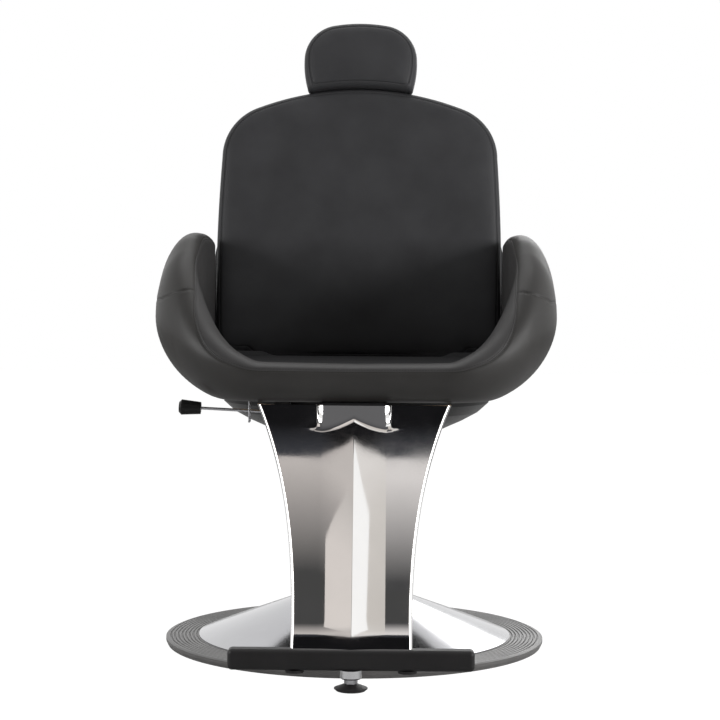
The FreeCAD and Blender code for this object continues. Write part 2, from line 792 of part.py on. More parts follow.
def bucket_wire(origin, outward, turn, top, draw=0, pinch=0):
    """The closed section at a place on the U: two arcs below the widest line and three above it."""
    part = bucket_section(turn, top, pinch, draw)
    wide = part["low"] + (part["top"] - part["low"]) * part["wide"]

    def point(across, up):
        return Vector(origin[0] + outward[0] * across, origin[1] + outward[1] * across, up)

    def quarter(start, corner, first, last, power=1):
        """Part of a quarter ellipse that leaves start, flatter than an ellipse where its power is over 1."""
        centre, reach = (start[0], corner[1]), (corner[0] - start[0], start[1] - corner[1])
        angles = [math.radians(first + (last - first) * share) for share in (0, 0.5, 1)]
        return [(centre[0] + reach[0] * max(0, math.cos(a)) ** power,
                 centre[1] + reach[1] * max(0, math.sin(a)) ** power) for a in angles]

    foot = (part["foot"], part["low"])
    side = (part["outer"], wide)
    crest = (part["crest"], part["top"])
    shoulder = (part["inner"], part["top"] - part["round"])
    belly = 1 / v.bucket_belly_share
    below = [quarter(foot, side, 90, 45, belly), quarter(foot, side, 45, 0, belly)]
    above = [quarter(crest, side, 0, 45), quarter(crest, side, 45, 90)]
    inside = [quarter(crest, shoulder, 90, 0)]
    edges = [Part.Arc(*[point(*pair) for pair in run]).toShape() for run in below + above + inside]
    ledge = (part["inner"], part["ledge"])
    shelf = (part["shelf"], v.board_top)
    step = (part["shelf"], v.board_base)
    heel = (part["foot"], part["low"] + (v.board_base - part["low"]) * v.bucket_heel_share)
    for start, end in ((shoulder, ledge), (ledge, shelf), (shelf, step), (step, heel), (heel, foot)):
        edges.append(Part.LineSegment(point(*start), point(*end)).toShape())
    return Part.Wire(edges)


def bucket():
    """The padded bucket: one half lofted from the rear of an arm to the middle of the roll, then mirrored."""
    side = v.arm_half_width - v.arm_thickness / 2
    front = v.roll_front - v.roll_thickness / 2
    hub = (side - v.bucket_corner, v.bucket_corner - front)
    # Share along the arm from its rear end, share of the arm's rise, of the drawing in, of the end's rounding
    arm_shares = [(0, 0.97, 0, 1), (0.012, 0.975, 0, 0.45), (0.04, 0.98, 0, 0),
                  (0.3, 1, 0, 0), (0.58, 0.995, 0.2, 0), (0.82, 0.95, 0.56, 0)]
    # Share of the quarter turn, of the way from arm to roll, of the arm's rise, of the drawing in
    corner_shares = [(0, 0.05, 0.84, 0.82), (1 / 6, 0.15, 0.73, 0.92), (2 / 6, 0.3, 0.585, 1),
                     (3 / 6, 0.5, 0.4, 0.69), (4 / 6, 0.72, 0.215, 0.37), (5 / 6, 0.9, 0.08, 0.19),
                     (1, 1, 0.01, 0)]
    rise = v.arm_top - v.roll_top
    sections = []
    for along, top, draw, pinch in arm_shares:
        back = v.arm_rear + (hub[1] - v.arm_rear) * along
        sections.append(bucket_wire((side, back), (1, 0), 0, v.roll_top + rise * top,
                                    draw, v.bucket_end_round * pinch))
    for share, turn, top, draw in corner_shares:
        angle = math.radians(90 * share)
        outward = (math.cos(angle), -math.sin(angle))
        origin = (hub[0] + v.bucket_corner * outward[0], hub[1] + v.bucket_corner * outward[1])
        sections.append(bucket_wire(origin, outward, turn, v.roll_top + rise * top, draw))
    sections.append(bucket_wire((0, -front), (0, -1), 1, v.roll_top))
    half = Part.makeLoft(sections, True, True)
    whole = half.fuse(half.mirror(Vector(), Vector(1, 0, 0)))
    node(made("bucket_seat", whole.Solids[0]))


# Cushions: an outline scaled towards its middle at each level of a loft


def shrunk(edges, inset, half, middle):
    """The outline drawn in all round by an inset, kept in proportion."""
    def moved(pair):
        return tuple(mid + (at - mid) * (reach - inset) / reach
                     for at, mid, reach in zip(pair, middle, half))
    return [(kind, *[moved(pair) for pair in points]) for kind, *points in edges]


def pillow(edges, plane, half, middle, levels):
    """A padded form through (level, inset) rings."""
    wires = [wire_of(shrunk(edges, inset, half, middle), plane, level) for level, inset in levels]
    return Part.makeLoft(wires, True, True)


def seat_cushion():
    wide = v.arm_half_width - v.arm_thickness - v.cushion_gap
    front = -(v.roll_front - v.roll_thickness - v.cushion_gap)
    rear, turn, tail = v.cushion_rear, v.cushion_corner, v.cushion_rear_corner
    cut_in, cut_tail = turn * (1 - math.sqrt(0.5)), tail * (1 - math.sqrt(0.5))
    edges = [
        ("line", (turn - wide, front), (wide - turn, front)),
        ("arc", (wide - turn, front), (wide - cut_in, front + cut_in), (wide, front + turn)),
        ("line", (wide, front + turn), (wide, rear - tail)),
        ("arc", (wide, rear - tail), (wide - cut_tail, rear - cut_tail), (wide - tail, rear)),
        ("line", (wide - tail, rear), (tail - wide, rear)),
        ("arc", (tail - wide, rear), (cut_tail - wide, rear - cut_tail), (-wide, rear - tail)),
        ("line", (-wide, rear - tail), (-wide, front + turn)),
        ("arc", (-wide, front + turn), (cut_in - wide, front + cut_in), (turn - wide, front))]
    height = v.cushion_top - v.cushion_base
    # Share of the height, share of the half width that the ring is drawn in
    level_shares = [(0, 0.24), (0.42, 0.01), (0.55, 0), (0.68, 0.012), (0.8, 0.05),
                    (0.9, 0.13), (0.96, 0.3), (1, 0.6)]
    levels = [(v.cushion_base + height * up, wide * inset) for up, inset in level_shares]
    half = (wide, (rear - front) / 2)
    node(made("seat_cushion", pillow(edges, "XY", half, (0, (rear + front) / 2), levels)))


def back_edges(drop=0):
    """The backrest seen from the front in its own lean, its foot lower by a drop between the ledges."""
    foot, corner = v.back_foot, v.back_foot_corner
    low, mid, high = v.back_foot_half_width, v.back_half_width, v.back_shoulder_half_width
    bend = (high - (high - v.back_crest_half_width) * v.back_bend_out_share,
            v.back_shoulder + (v.back_crest - v.back_shoulder) * v.back_bend_up_share)
    waist = (foot + corner + v.back_shoulder) / 2
    cut_in = corner * (1 - math.sqrt(0.5))
    right = [
        ("arc", (low - corner, foot), (low - cut_in, foot + cut_in), (low, foot + corner)),
        ("arc", (low, foot + corner), (mid, waist), (high, v.back_shoulder)),
        ("arc", (high, v.back_shoulder), bend, (v.back_crest_half_width, v.back_crest))]
    crest = ("arc", (v.back_crest_half_width, v.back_crest), (0, v.back_top),
             (-v.back_crest_half_width, v.back_crest))
    left = [(kind, *[(-x, z) for x, z in reversed(points)]) for kind, *points in reversed(right)]
    if not drop:
        return [("line", (corner - low, foot), (low - corner, foot))] + right + [crest] + left
    lip = v.back_lip_half_width
    turns = [(corner - low, foot), (-lip - v.back_lip_slope, foot), (-lip, foot - drop),
             (lip, foot - drop), (lip + v.back_lip_slope, foot), (low - corner, foot)]
    return [("line", a, b) for a, b in zip(turns, turns[1:])] + right + [crest] + left


def backrest():
    half = (v.back_half_width, (v.back_top - v.back_foot) / 2)
    middle = (0, (v.back_top + v.back_foot) / 2)
    # Share of the foam's depth from the front, share of the half width drawn in
    foam_shares = [(0, 0.55), (0.012, 0.3), (0.035, 0.14), (0.09, 0.06), (0.17, 0.024),
                   (0.27, 0.006), (0.4, 0), (0.85, 0), (1, 0.012)]
    foam = [(v.back_foam * deep - v.back_front, v.back_half_width * inset) for deep, inset in foam_shares]
    node(made("back_cushion", pillow(back_edges(v.back_lip_drop), "XZ", half, middle, foam)))
    lean(NODES[-1])
    board = [(v.board_front_depth, v.back_board_inset), (v.frame_depth, v.back_board_inset)]
    panel = made("back_panel", pillow(back_edges(), "XZ", half, middle, board))
    shell_shares = [(0, 0.02), (0.3, 0.01), (0.6, 0.025), (0.82, 0.07), (0.93, 0.15), (1, 0.45)]
    shell = [(v.frame_depth + v.back_shell_thickness * deep, v.back_half_width * inset)
             for deep, inset in shell_shares]
    cover = made("back_cover", pillow(back_edges(), "XZ", half, middle, shell))
    guide = box("guide_room", ("-guide_half_width - seat_gap", "guide_half_width + seat_gap"),
                ("board_front_depth - cut_over", "board_front_depth + guide_depth + seat_gap"),
                ("guide_foot - seat_gap", "back_top + cut_over"))
    rooms = []
    for name, low in (("low", "frame_cross"), ("high", "guide_foot - frame_cross")):
        rooms.append(box("cross_room_" + name, ("-frame_bar_outer", "frame_bar_outer"),
                         ("frame_depth - cut_over", "frame_depth + frame_bar_depth / 2 + seat_gap"),
                         ("%s - seat_gap" % low, "%s + frame_cross + seat_gap" % low)))
    for name, (low, high) in (("left", ("-frame_bar_outer", "-frame_bar_inner")),
                              ("right", ("frame_bar_inner", "frame_bar_outer"))):
        rooms.append(box("bar_room_" + name, ("%s - seat_gap" % low, "%s + seat_gap" % high),
                         ("frame_depth - cut_over", "frame_depth + frame_bar_depth + seat_gap"),
                         ("back_foot - cut_over", "frame_bar_top + seat_gap")))
    lean(node(cut("back_board", panel, guide)))
    lean(node(cut("back_shell", cover, guide, *rooms)))


def back_frame():
    """Two bent bars on the hinge pins, two cross plates, and the left bar's arm for the gas spring."""
    bars = []
    for name, start in (("left", "-frame_bar_outer"), ("right", "frame_bar_inner")):
        bars.append(padded("frame_bar_" + name, "YZ_Plane", [
            ("0", "-frame_bar_rise"), ("frame_depth + frame_bar_depth", "-frame_bar_rise"),
            ("frame_depth + frame_bar_depth", "frame_bar_top"), ("frame_depth", "frame_bar_top"),
            ("frame_depth", "frame_bar_rise"), ("0", "frame_bar_rise")], start, "frame_bar_width"))
        bars.append(rod("frame_eye_" + name, "X", "hinge_eye", "frame_bar_width", start))
    swing = "(gas_arm_lag_angle + back_lean_angle)"
    pin = ("gas_arm * sin%s" % swing, "-gas_arm * cos%s" % swing)
    edge = ("gas_arm_half_width * cos%s" % swing, "gas_arm_half_width * sin%s" % swing)
    bars.append(padded("gas_lever", "YZ_Plane", [
        ("-(%s)" % edge[0], "-(%s)" % edge[1]),
        ("%s - %s" % (pin[0], edge[0]), "%s - %s" % (pin[1], edge[1])),
        ("%s + %s" % (pin[0], edge[0]), "%s + %s" % (pin[1], edge[1])), edge],
        "-frame_bar_outer", "frame_bar_width"))
    bars.append(rod("gas_lever_end", "X", "gas_arm_half_width", "frame_bar_width", "-frame_bar_outer", *pin))
    for name, low in (("low", "frame_cross"), ("high", "guide_foot - frame_cross")):
        bars.append(box("frame_cross_" + name, ("-frame_bar_inner", "frame_bar_inner"),
                        ("frame_depth", "frame_depth + frame_bar_depth / 2"),
                        (low, "%s + frame_cross" % low)))
    bore = rod("frame_bore", "X", "hinge_pin_radius + running_fit", "frame_bar_outer * 2 + cut_over * 2",
               "-frame_bar_outer - cut_over")
    pin_bore = rod("gas_pin_bore", "X", "gas_pin_radius", "frame_bar_width + cut_over * 2",
                   "-frame_bar_outer - cut_over", *pin)
    lean(node(cut("back_frame", fuse("frame_blank", *bars), bore, pin_bore)))
    shaft = rod("gas_pin_shaft", "X", "gas_pin_radius", "gas_side + gas_eye_width - frame_bar_inner",
                "-gas_side - gas_eye_width", *pin)
    lean(node(wrapped("gas_pin", shaft)))


def headrest_carrier():
    """The guide block in the backrest, the two posts that slide in it, and the yoke on the posts."""
    block = box("guide_block", ("-guide_half_width", "guide_half_width"),
                ("board_front_depth", "board_front_depth + guide_depth"), ("guide_foot", "guide_top"))
    bores, posts, sockets = [], [], []
    for name, across in (("left", "-post_spread"), ("right", "post_spread")):
        bores.append(rod("guide_bore_" + name, "Z", "post_radius + running_fit",
                         "guide_top - guide_foot + cut_over * 2",
                         across, "post_depth", "guide_foot - cut_over"))
        posts.append(rod("post_" + name, "Z", "post_radius", "post_top - post_foot",
                         across, "post_depth", "post_foot"))
        sockets.append(rod("yoke_bore_" + name, "Z", "post_radius", "yoke_height + cut_over * 2",
                           across, "post_depth", "post_top - yoke_height - cut_over"))
    lean(node(cut("headrest_guide", block, *bores)))
    lean(node(fuse("headrest_posts", *posts)))
    bar = box("yoke_bar", ("-yoke_half_width", "yoke_half_width"),
              ("post_depth - yoke_depth / 2", "post_depth + yoke_depth / 2"),
              ("post_top - yoke_height", "post_top"))
    lug = box("yoke_lug", ("-tilt_lug_half_width", "tilt_lug_half_width"),
              ("tilt_back - tilt_lug", "tilt_back + tilt_lug"), ("post_top - yoke_height", "tilt_height"))
    eye = rod("yoke_eye", "X", "tilt_lug", "tilt_lug_half_width * 2",
              "-tilt_lug_half_width", "tilt_back", "tilt_height")
    bore = rod("yoke_pin_bore", "X", "tilt_pin_radius + running_fit", "yoke_half_width * 2",
               "-yoke_half_width", "tilt_back", "tilt_height")
    lean(node(cut("headrest_yoke", fuse("yoke_blank", bar, lug, eye), bore, *sockets)))


def head_edges():
    """The headrest seen from the front: a straight foot over the backrest's crest, large upper corners."""
    wide, foot, top = v.head_half_width, v.head_foot, v.head_top
    low, turn = wide - v.head_foot_taper, v.head_foot_round
    side = foot + v.head_height * v.head_side_share
    crown = (wide - v.head_crown_inset, top - v.head_crown_drop)
    cut_in = turn * (1 - math.sqrt(0.5))
    right = [
        ("arc", (low, foot), (low + turn - cut_in, foot + cut_in), (low + turn, foot + turn)),
        ("arc", (low + turn, foot + turn), (wide - v.head_waist_inset, (foot + turn + side) / 2),
         (wide, side)),
        ("arc", (wide, side), (wide - v.head_bend_inset, top - v.head_bend_drop), crown)]
    left = [(kind, *[(-x, z) for x, z in reversed(points)]) for kind, *points in reversed(right)]
    return ([("line", (-low, foot), (low, foot))] + right
            + [("arc", crown, (0, top), (-crown[0], crown[1]))] + left)


def headrest():
    half = (v.head_half_width, v.head_height / 2)
    middle = (0, v.head_foot + v.head_height / 2)
    foam_shares = [(0, 0.55), (0.015, 0.36), (0.05, 0.2), (0.12, 0.09), (0.22, 0.03),
                   (0.36, 0.004), (0.5, 0), (0.75, 0.01), (0.9, 0.05), (1, 0.13)]
    foam = [(v.head_foam * deep - v.head_front, v.head_half_width * inset) for deep, inset in foam_shares]
    lean(node(made("headrest_cushion", pillow(head_edges(), "XZ", half, middle, foam))))
    rim = v.head_half_width * v.head_plate_share
    levels = [(v.head_plate_depth, rim), (v.head_plate_back, rim)]
    plate = made("head_plate_blank", pillow(head_edges(), "XZ", half, middle, levels))
    ears = []
    inner = "tilt_lug_half_width + side_gap"
    for name, low, high in (("left", "-(%s + tilt_ear)" % inner, "-(%s)" % inner),
                            ("right", inner, "%s + tilt_ear" % inner)):
        ears.append(box("tilt_ear_" + name, (low, high), ("head_plate_back", "tilt_back + tilt_lug"),
                        ("tilt_height - tilt_lug", "tilt_height + tilt_lug")))
    reach = "%s + tilt_ear + tilt_pin_overhang" % inner
    bore = rod("ear_bore", "X", "tilt_pin_radius", "yoke_half_width * 2",
               "-yoke_half_width", "tilt_back", "tilt_height")
    lean(node(cut("headrest_plate", fuse("headrest_plate_blank", plate, *ears), bore)))
    shaft = rod("tilt_pin_shaft", "X", "tilt_pin_radius", "(%s) * 2" % reach,
                "-(%s)" % reach, "tilt_back", "tilt_height")
    lean(node(wrapped("tilt_pin", shaft)))


# Recline hinge and gas spring on the rails


def recline():
    plates, pins = [], []
    for name, side in (("left", "-hinge_plate_side - hinge_plate"), ("right", "hinge_plate_side")):
        plates.append(padded("hinge_cheek_" + name, "YZ_Plane", [
            ("hinge_plate_foot", "rail_top"), ("rail_rear", "rail_top"),
            ("hinge_back + hinge_eye * hinge_heel_share", "hinge_height - hinge_eye * hinge_heel_drop_share"),
            ("hinge_back", "hinge_height"), ("hinge_back - hinge_eye", "hinge_height"),
            ("hinge_back - hinge_eye", "board_top - side_gap"), ("hinge_plate_foot", "board_top - side_gap")],
            side, "hinge_plate"))
        plates.append(rod("hinge_boss_" + name, "X", "hinge_eye", "hinge_plate",
                          side, "hinge_back", "hinge_height"))
    reach = "frame_bar_outer + hinge_pin_overhang"
    start = "hinge_plate_side - hinge_pin_overhang"
    for name, low in (("left", "-(%s)" % reach), ("right", start)):
        pins.append(rod("hinge_pin_" + name, "X", "hinge_pin_radius", "%s - (%s)" % (reach, start),
                        low, "hinge_back", "hinge_height"))
    bore = rod("hinge_bore", "X", "hinge_pin_radius", "frame_bar_outer * 2",
               "-frame_bar_outer", "hinge_back", "hinge_height")
    node(cut("hinge_brackets", fuse("hinge_blank", *plates), bore))
    node(fuse("hinge_pins", *pins))
    barrel = rod("gas_tube", "Y", "gas_radius", "gas_front + gas_rear",
                 "-gas_side", "-gas_front", "gas_height")
    bore = rod("gas_bore_room", "Y", "gas_bore", "gas_front + gas_rear",
               "-gas_side", "-gas_front + gas_head_length", "gas_height")
    node(cut("gas_cylinder", barrel, bore))
    head = rod("gas_plug", "Y", "gas_bore", "gas_head_length",
               "-gas_side", "gas_rear - gas_head_length", "gas_height")
    head_bore = rod("gas_plug_bore", "Y", "gas_rod_radius + running_fit", "gas_head_length + cut_over * 2",
                    "-gas_side", "gas_rear - gas_head_length - cut_over", "gas_height")
    node(cut("gas_gland", head, head_bore))
    stem = rod("gas_stem", "Y", "gas_rod_radius", "gas_rod_front + gas_pin_back - gas_eye_reach",
               "-gas_side", "-gas_rod_front", "gas_height")
    piston = rod("gas_piston", "Y", "gas_bore - running_fit", "gas_piston_length",
                 "-gas_side", "-gas_rod_front", "gas_height")
    node(fuse("gas_rod", stem, piston))
    eye = box("gas_eye_block", ("-gas_side - gas_eye_width / 2", "-gas_side + gas_eye_width / 2"),
              ("gas_pin_back - gas_eye_reach", "gas_pin_back + gas_eye_reach"),
              ("gas_height - gas_eye_rise", "gas_height + gas_eye_rise"))
    slot = box("gas_eye_slot", ("-gas_side - gas_eye_width", "-gas_side + gas_eye_width"),
               ("gas_pin_back - gas_pin_radius - gas_slot_side",
                "gas_pin_back + gas_pin_radius + gas_slot_side"),
               ("gas_height - gas_pin_radius - gas_slot_play", "gas_height + gas_pin_radius + gas_slot_lift"))
    node(cut("gas_eye", eye, slot))
    node(box("gas_mount", ("-gas_side - gas_radius / 2", "-rail_outer"),
             ("-gas_front - gas_mount_depth", "-gas_front"),
             ("gas_height - gas_mount_drop", "gas_height + gas_mount_rise")))


# Pan under the seat


def pan_ring(share, level, wall):
    """An oval ring of the pan: a share of its full size, less a wall, at a level."""
    centre = (v.pan_rear - v.pan_front) / 2
    wide = v.pan_half_width * share - wall
    deep = (v.pan_front + v.pan_rear) / 2 * share - wall
    ring = []
    for turn in range(4):
        angles = [math.radians(90 * (turn + step)) for step in (0, 0.5, 1)]
        ring.append(("arc", *[(wide * math.cos(a), centre + deep * math.sin(a)) for a in angles]))
    return wire_of(ring, "XY", level)


def pan():
    rise = v.pan_rim - v.pan_floor
    # Share of the pan's rise, share of its full size
    pan_shares = [(0, 0.58), (0.1, 0.64), (0.24, 0.71), (0.41, 0.8), (0.69, 0.92), (1, 1)]
    outer = [pan_ring(size, v.pan_floor + rise * up, 0) for up, size in pan_shares]
    outer.append(pan_ring(1, v.roll_foot - v.seat_gap, 0))
    inner = [pan_ring(size, v.pan_floor + rise * up + v.pan_wall, v.pan_wall) for up, size in pan_shares]
    inner.append(pan_ring(1, v.rail_top + v.pan_wall, v.pan_wall))
    bowl = made("pan_bowl", Part.makeLoft(outer, True, True).cut(Part.makeLoft(inner, True, True)))
    hole = rod("pan_hole", "Z", "pan_hole_radius", "pan_wall * 2 + cut_over * 2", z="pan_floor - cut_over")
    notch = box("pan_notch", ("-gas_side - gas_eye_width", "-frame_bar_inner + gas_eye_width"),
                ("pan_rear - pan_notch_reach", "pan_rear + cut_over"),
                ("gas_height - gas_eye_rise - pan_notch_play", "rail_top + cut_over"))
    slot = box("pan_bracket_slot", ("-bracket_half_width - seat_gap", "bracket_half_width + seat_gap"),
               ("-pan_front - cut_over", "-pan_front + pan_notch_reach"),
               ("bracket_base - seat_gap", "rail_top + cut_over"))
    node(cut("underside_pan", bowl, hole, notch, slot))


# Footrest


def panel_front(height):
    """How far forward the panel's flat front lies at a height."""
    return -(v.panel_top_front + (v.panel_top - height) * v.panel_slope)


def panel_section(share):
    """The panel's closed outline at a share of its height: ridge, flanks, bevelled edges and flanges."""
    height = v.panel_foot + (v.panel_top - v.panel_foot) * share
    flare = share ** (1 / v.panel_flare_share)
    wide = v.panel_foot_half_width + (v.panel_top_half_width - v.panel_foot_half_width) * flare
    growth = (v.panel_ridge_start_share - share) / (v.panel_ridge_start_share - v.panel_ridge_full_share)
    growth = min(1, max(v.panel_ridge_least_share, growth))
    ridge = v.panel_ridge * min(1, growth / v.panel_ridge_rise_share)
    flank, crest = v.panel_ridge_half_width * growth, v.panel_ridge_crest * growth
    bend = (crest + (flank - crest) * v.panel_ridge_bend_share, -ridge * v.panel_ridge_fall_share)
    right = [(crest, -ridge), bend, (flank, 0),
             (wide - v.panel_bevel, 0), (wide, v.panel_bevel), (wide, v.panel_flange),
             (wide - v.panel_wall, v.panel_flange), (wide - v.panel_wall * v.panel_inner_share, v.panel_wall)]
    left = [(-x, y) for x, y in reversed(right)]
    points = [Vector(x, panel_front(height) + y, height) for x, y in right + left]
    return Part.makePolygon(points + points[:1])


def footrest():
    levels = 12
    casting = Part.makeLoft([panel_section(step / levels) for step in range(levels + 1)], True, True)
    draft = v.panel_block_draft
    top, foot = v.panel_top, v.panel_block_foot
    faces = []
    for height, extra in ((foot, draft), (top, 0)):
        wide, front = v.panel_block_half_width + extra, -v.panel_block_front
        rear = panel_front(v.panel_top) + v.panel_wall
        points = [Vector(-wide - draft, rear, height), Vector(-wide, front, height),
                  Vector(wide, front, height), Vector(wide + draft, rear, height)]
        faces.append(Part.makePolygon(points + points[:1]))
    behind = Part.makePolygon([
        Vector(0, panel_front(v.panel_top) + v.panel_wall, v.panel_top),
        Vector(0, panel_front(v.panel_foot) + v.panel_wall, v.panel_foot),
        Vector(0, 0, v.panel_foot), Vector(0, 0, v.panel_top),
        Vector(0, panel_front(v.panel_top) + v.panel_wall, v.panel_top)])
    room = Part.Face(behind).extrude(Vector(v.panel_top_half_width * 2, 0, 0))
    room.translate(Vector(-v.panel_top_half_width, 0, 0))
    block = Part.makeLoft(faces, True, True).cut(room)
    side = v.panel_foot_half_width - v.panel_wall / 2
    tongue = Part.makeBox(side * 2, v.panel_tongue_depth, v.panel_tongue_rise,
                          Vector(-side, -v.bar_rear, v.bar_foot + v.panel_tongue_lift))
    node(made("footrest_panel", casting.fuse(block).fuse(tongue).removeSplitter()))


def footrest_bracket():
    """A plate from the rails forward, and a web down the back of the panel."""
    lean_back = "(panel_top - (%s)) * panel_slope"
    front = "-(panel_top_front + " + lean_back + ") + panel_wall"
    blank = padded("bracket_blank", "YZ_Plane", [
        (front % "bracket_top", "bracket_top"), ("-bracket_rear", "bracket_top"),
        ("-bracket_rear", "bracket_base"), (front % "bracket_base" + " + bracket_web", "bracket_base"),
        (front % "bracket_foot" + " + bracket_web", "bracket_foot"),
        (front % "bracket_foot", "bracket_foot")],
        "-bracket_half_width", "bracket_half_width * 2")
    bolts, holes = [], []
    for name, across in (("left", "-panel_bolt_spread"), ("right", "panel_bolt_spread")):
        level = "bracket_foot + panel_bolt_drop"
        face = front % level
        seat = "%s + bracket_web * panel_bolt_seat_share" % face
        start = "%s + seat_gap + panel_bolt_radius * panel_slope" % face
        bolts.append(rod("panel_shank_" + name, "Y", "panel_bolt_radius", "(%s) - (%s)" % (seat, start),
                         across, start, level))
        bolts.append(rod("panel_head_" + name, "Y", "panel_bolt_head", "panel_bolt_head_height",
                         across, seat, level))
        holes.append(rod("panel_hole_" + name, "Y", "panel_bolt_radius + running_fit", "bracket_web * 2",
                         across, "%s - cut_over" % face, level))
        holes.append(rod("panel_sink_" + name, "Y", "panel_bolt_head + hole_play", "bracket_web * 2",
                         across, seat, level))
    node(cut("footrest_bracket", blank, *holes))
    node(fuse("footrest_bolts", *bolts))


def foot_bar():
    block = box("bar_block", ("-bar_half_width", "bar_half_width"), ("-bar_front", "-bar_rear"),
                ("bar_foot", "bar_top"))
    core_x = ("-bar_half_width + bar_end_margin", "bar_half_width - bar_end_margin")
    core_y = ("-bar_front + bar_core_margin", "-bar_rear - bar_core_margin")
    core_z = ("bar_foot + bar_core_margin", "bar_top - bar_core_margin")
    room = box("bar_room", core_x, core_y, core_z)
    hole = rod("bar_stud_room", "Z", "foot_stud_radius + hole_play", "foot_stud_reach",
               y="-bar_middle", z="boss_foot - cut_over")
    node(cut("footrest_bar", rounded("bar_skin", block, v.bar_round), room, hole))
    node(cut("footrest_bar_core", box("bar_steel", core_x, core_y, core_z), hole))
    glides = []
    for name, across in (("left", "-glide_spread"), ("right", "glide_spread")):
        glides.append(rod("glide_" + name, "Z", "glide_radius", "glide_height",
                          across, "-bar_middle", "bar_foot - glide_height"))
    node(fuse("footrest_glides", *glides))
    boss = turned("foot_boss", [
        ("foot_stud_radius + running_fit", "boss_foot"), ("boss_radius - boss_chamfer", "boss_foot"),
        ("boss_radius", "boss_foot + boss_chamfer"), ("boss_radius", "bar_foot"),
        ("foot_stud_radius + running_fit", "bar_foot")])
    pad = turned("levelling_pad", [
        ("0", "foot_clear"), ("foot_pad_base_radius", "foot_clear"),
        ("foot_pad_radius", "foot_clear + foot_pad_rim"),
        ("foot_pad_radius", "foot_clear + foot_pad_rim + foot_pad_band"),
        ("foot_pad_neck_radius", "foot_pad_top"), ("0", "foot_pad_top")])
    stud = rod("levelling_stud", "Z", "foot_stud_radius", "foot_stud_reach", z="foot_pad_top")
    nut = doc.addObject("Part::Prism", "nut_blank")
    nut.Polygon = 6
    tie(nut, Circumradius="foot_nut_across / sqrt(3)", Height="foot_nut_height")
    shift(nut, z="foot_pad_top")
    nut_bore = rod("nut_bore", "Z", "foot_stud_radius", "foot_nut_height + cut_over * 2",
                   z="foot_pad_top - cut_over")
    for item in (boss, pad, cut("levelling_nut", nut, nut_bore)):
        node(shift(item, y="-bar_middle"))
    node(shift(stud, y="-bar_middle", z="foot_pad_top"))


# Release lever


def release_lever():
    inner = "lever_hub_length / 2 + seat_gap"
    back = ("-lever_forward - (%s) - lever_bracket_wall" % inner,
            "-lever_forward + %s + lever_bracket_wall" % inner)
    block = box("lever_block", ("-lever_pivot_side - lever_bracket_width / 2",
                                "-lever_pivot_side + lever_bracket_width / 2"), back,
                ("lever_bracket_foot", "board_base"))
    slot = box("lever_slot", ("-lever_pivot_side - lever_bracket_width",
                              "-lever_pivot_side + lever_bracket_width"),
               ("-lever_forward - (%s)" % inner, "-lever_forward + %s" % inner),
               ("lever_bracket_foot - cut_over", "lever_pivot_height + lever_hub_radius + lever_rod_radius"))
    length = "lever_hub_length + lever_bracket_wall * 2 + seat_gap * 2"
    start = "-lever_forward - lever_hub_length / 2 - lever_bracket_wall - seat_gap"
    bore = rod("lever_bracket_bore", "Y", "lever_pin_radius", length,
               "-lever_pivot_side", start, "lever_pivot_height")
    node(cut("lever_bracket", block, slot, bore))
    node(rod("lever_pin", "Y", "lever_pin_radius", length, "-lever_pivot_side", start, "lever_pivot_height"))
    hub = rod("lever_hub", "Y", "lever_hub_radius", "lever_hub_length", y="-lever_hub_length / 2")
    bar = rod("lever_stick", "X", "lever_rod_radius", "lever_rod_length", "-lever_rod_length")
    hole = rod("lever_hub_bore", "Y", "lever_pin_radius + running_fit", "lever_hub_length + cut_over * 2",
               y="-lever_hub_length / 2 - cut_over")
    lever = node(cut("lever_rod", fuse("lever_blank", hub, bar), hole))
    knob = node(turned("lever_knob", [
        ("lever_rod_radius", "knob_start"), ("knob_neck_radius", "knob_start"),
        ("knob_radius", "knob_start + knob_length - knob_round"),
        ("knob_radius - knob_round", "knob_start + knob_length"), ("0", "knob_start + knob_length"),
        ("0", "lever_rod_length"), ("lever_rod_radius", "lever_rod_length")]))
    for item, axis, angle in ((lever, Vector(0, 1, 0), "lever_slope_angle"),
                              (knob, Vector(0, -1, 0), "90 - lever_slope_angle")):
        item.Placement = Placement(Vector(), Rotation(axis, 1))
        shift(item, "-lever_pivot_side", "-lever_forward", "lever_pivot_height")
        item.setExpression("Placement.Rotation.Angle", formula(angle))
    wires = []
    for name, along in (("front", "-lever_forward - guide_wire_spread"),
                        ("rear", "-lever_forward + guide_wire_spread")):
        wires.append(rod("wire_" + name, "Z", "guide_wire_radius", "board_base - guide_wire_foot",
                         "-guide_wire_side", along, "guide_wire_foot"))
    wires.append(rod("wire_foot", "Y", "guide_wire_radius", "guide_wire_spread * 2 + guide_wire_radius * 2",
                     "-guide_wire_side", "-lever_forward - guide_wire_spread - guide_wire_radius",
                     "guide_wire_foot"))
    node(fuse("lever_guide", *wires))


def write_parts():
    """Checks every object and every sub-part, then writes one STEP file for each."""
    doc.recompute()
    for item in doc.Objects:
        if "Invalid" in item.State or "Error" in item.State:
            raise RuntimeError("%s did not recompute" % item.Label)
    os.makedirs("parts", exist_ok=True)
    for item in NODES:
        shape = item.Shape
        if shape.isNull() or not shape.isValid() or not shape.Solids:
            raise RuntimeError("%s has no valid solid" % item.Label)
        shape.exportStep("parts/%s.step" % item.Label)
        print("%-20s %2d solid  %10.1f mm3" % (item.Label, len(shape.Solids), shape.Volume))


for build in (base, pedal, ram, chassis, bucket, seat_cushion, pan, footrest, footrest_bracket, foot_bar,
              recline, backrest, back_frame, headrest_carrier, headrest, release_lever):
    build()
write_parts()
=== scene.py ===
import bisect
import math

import bmesh
import bpy
from mathutils import Matrix, Vector
from mathutils.kdtree import KDTree


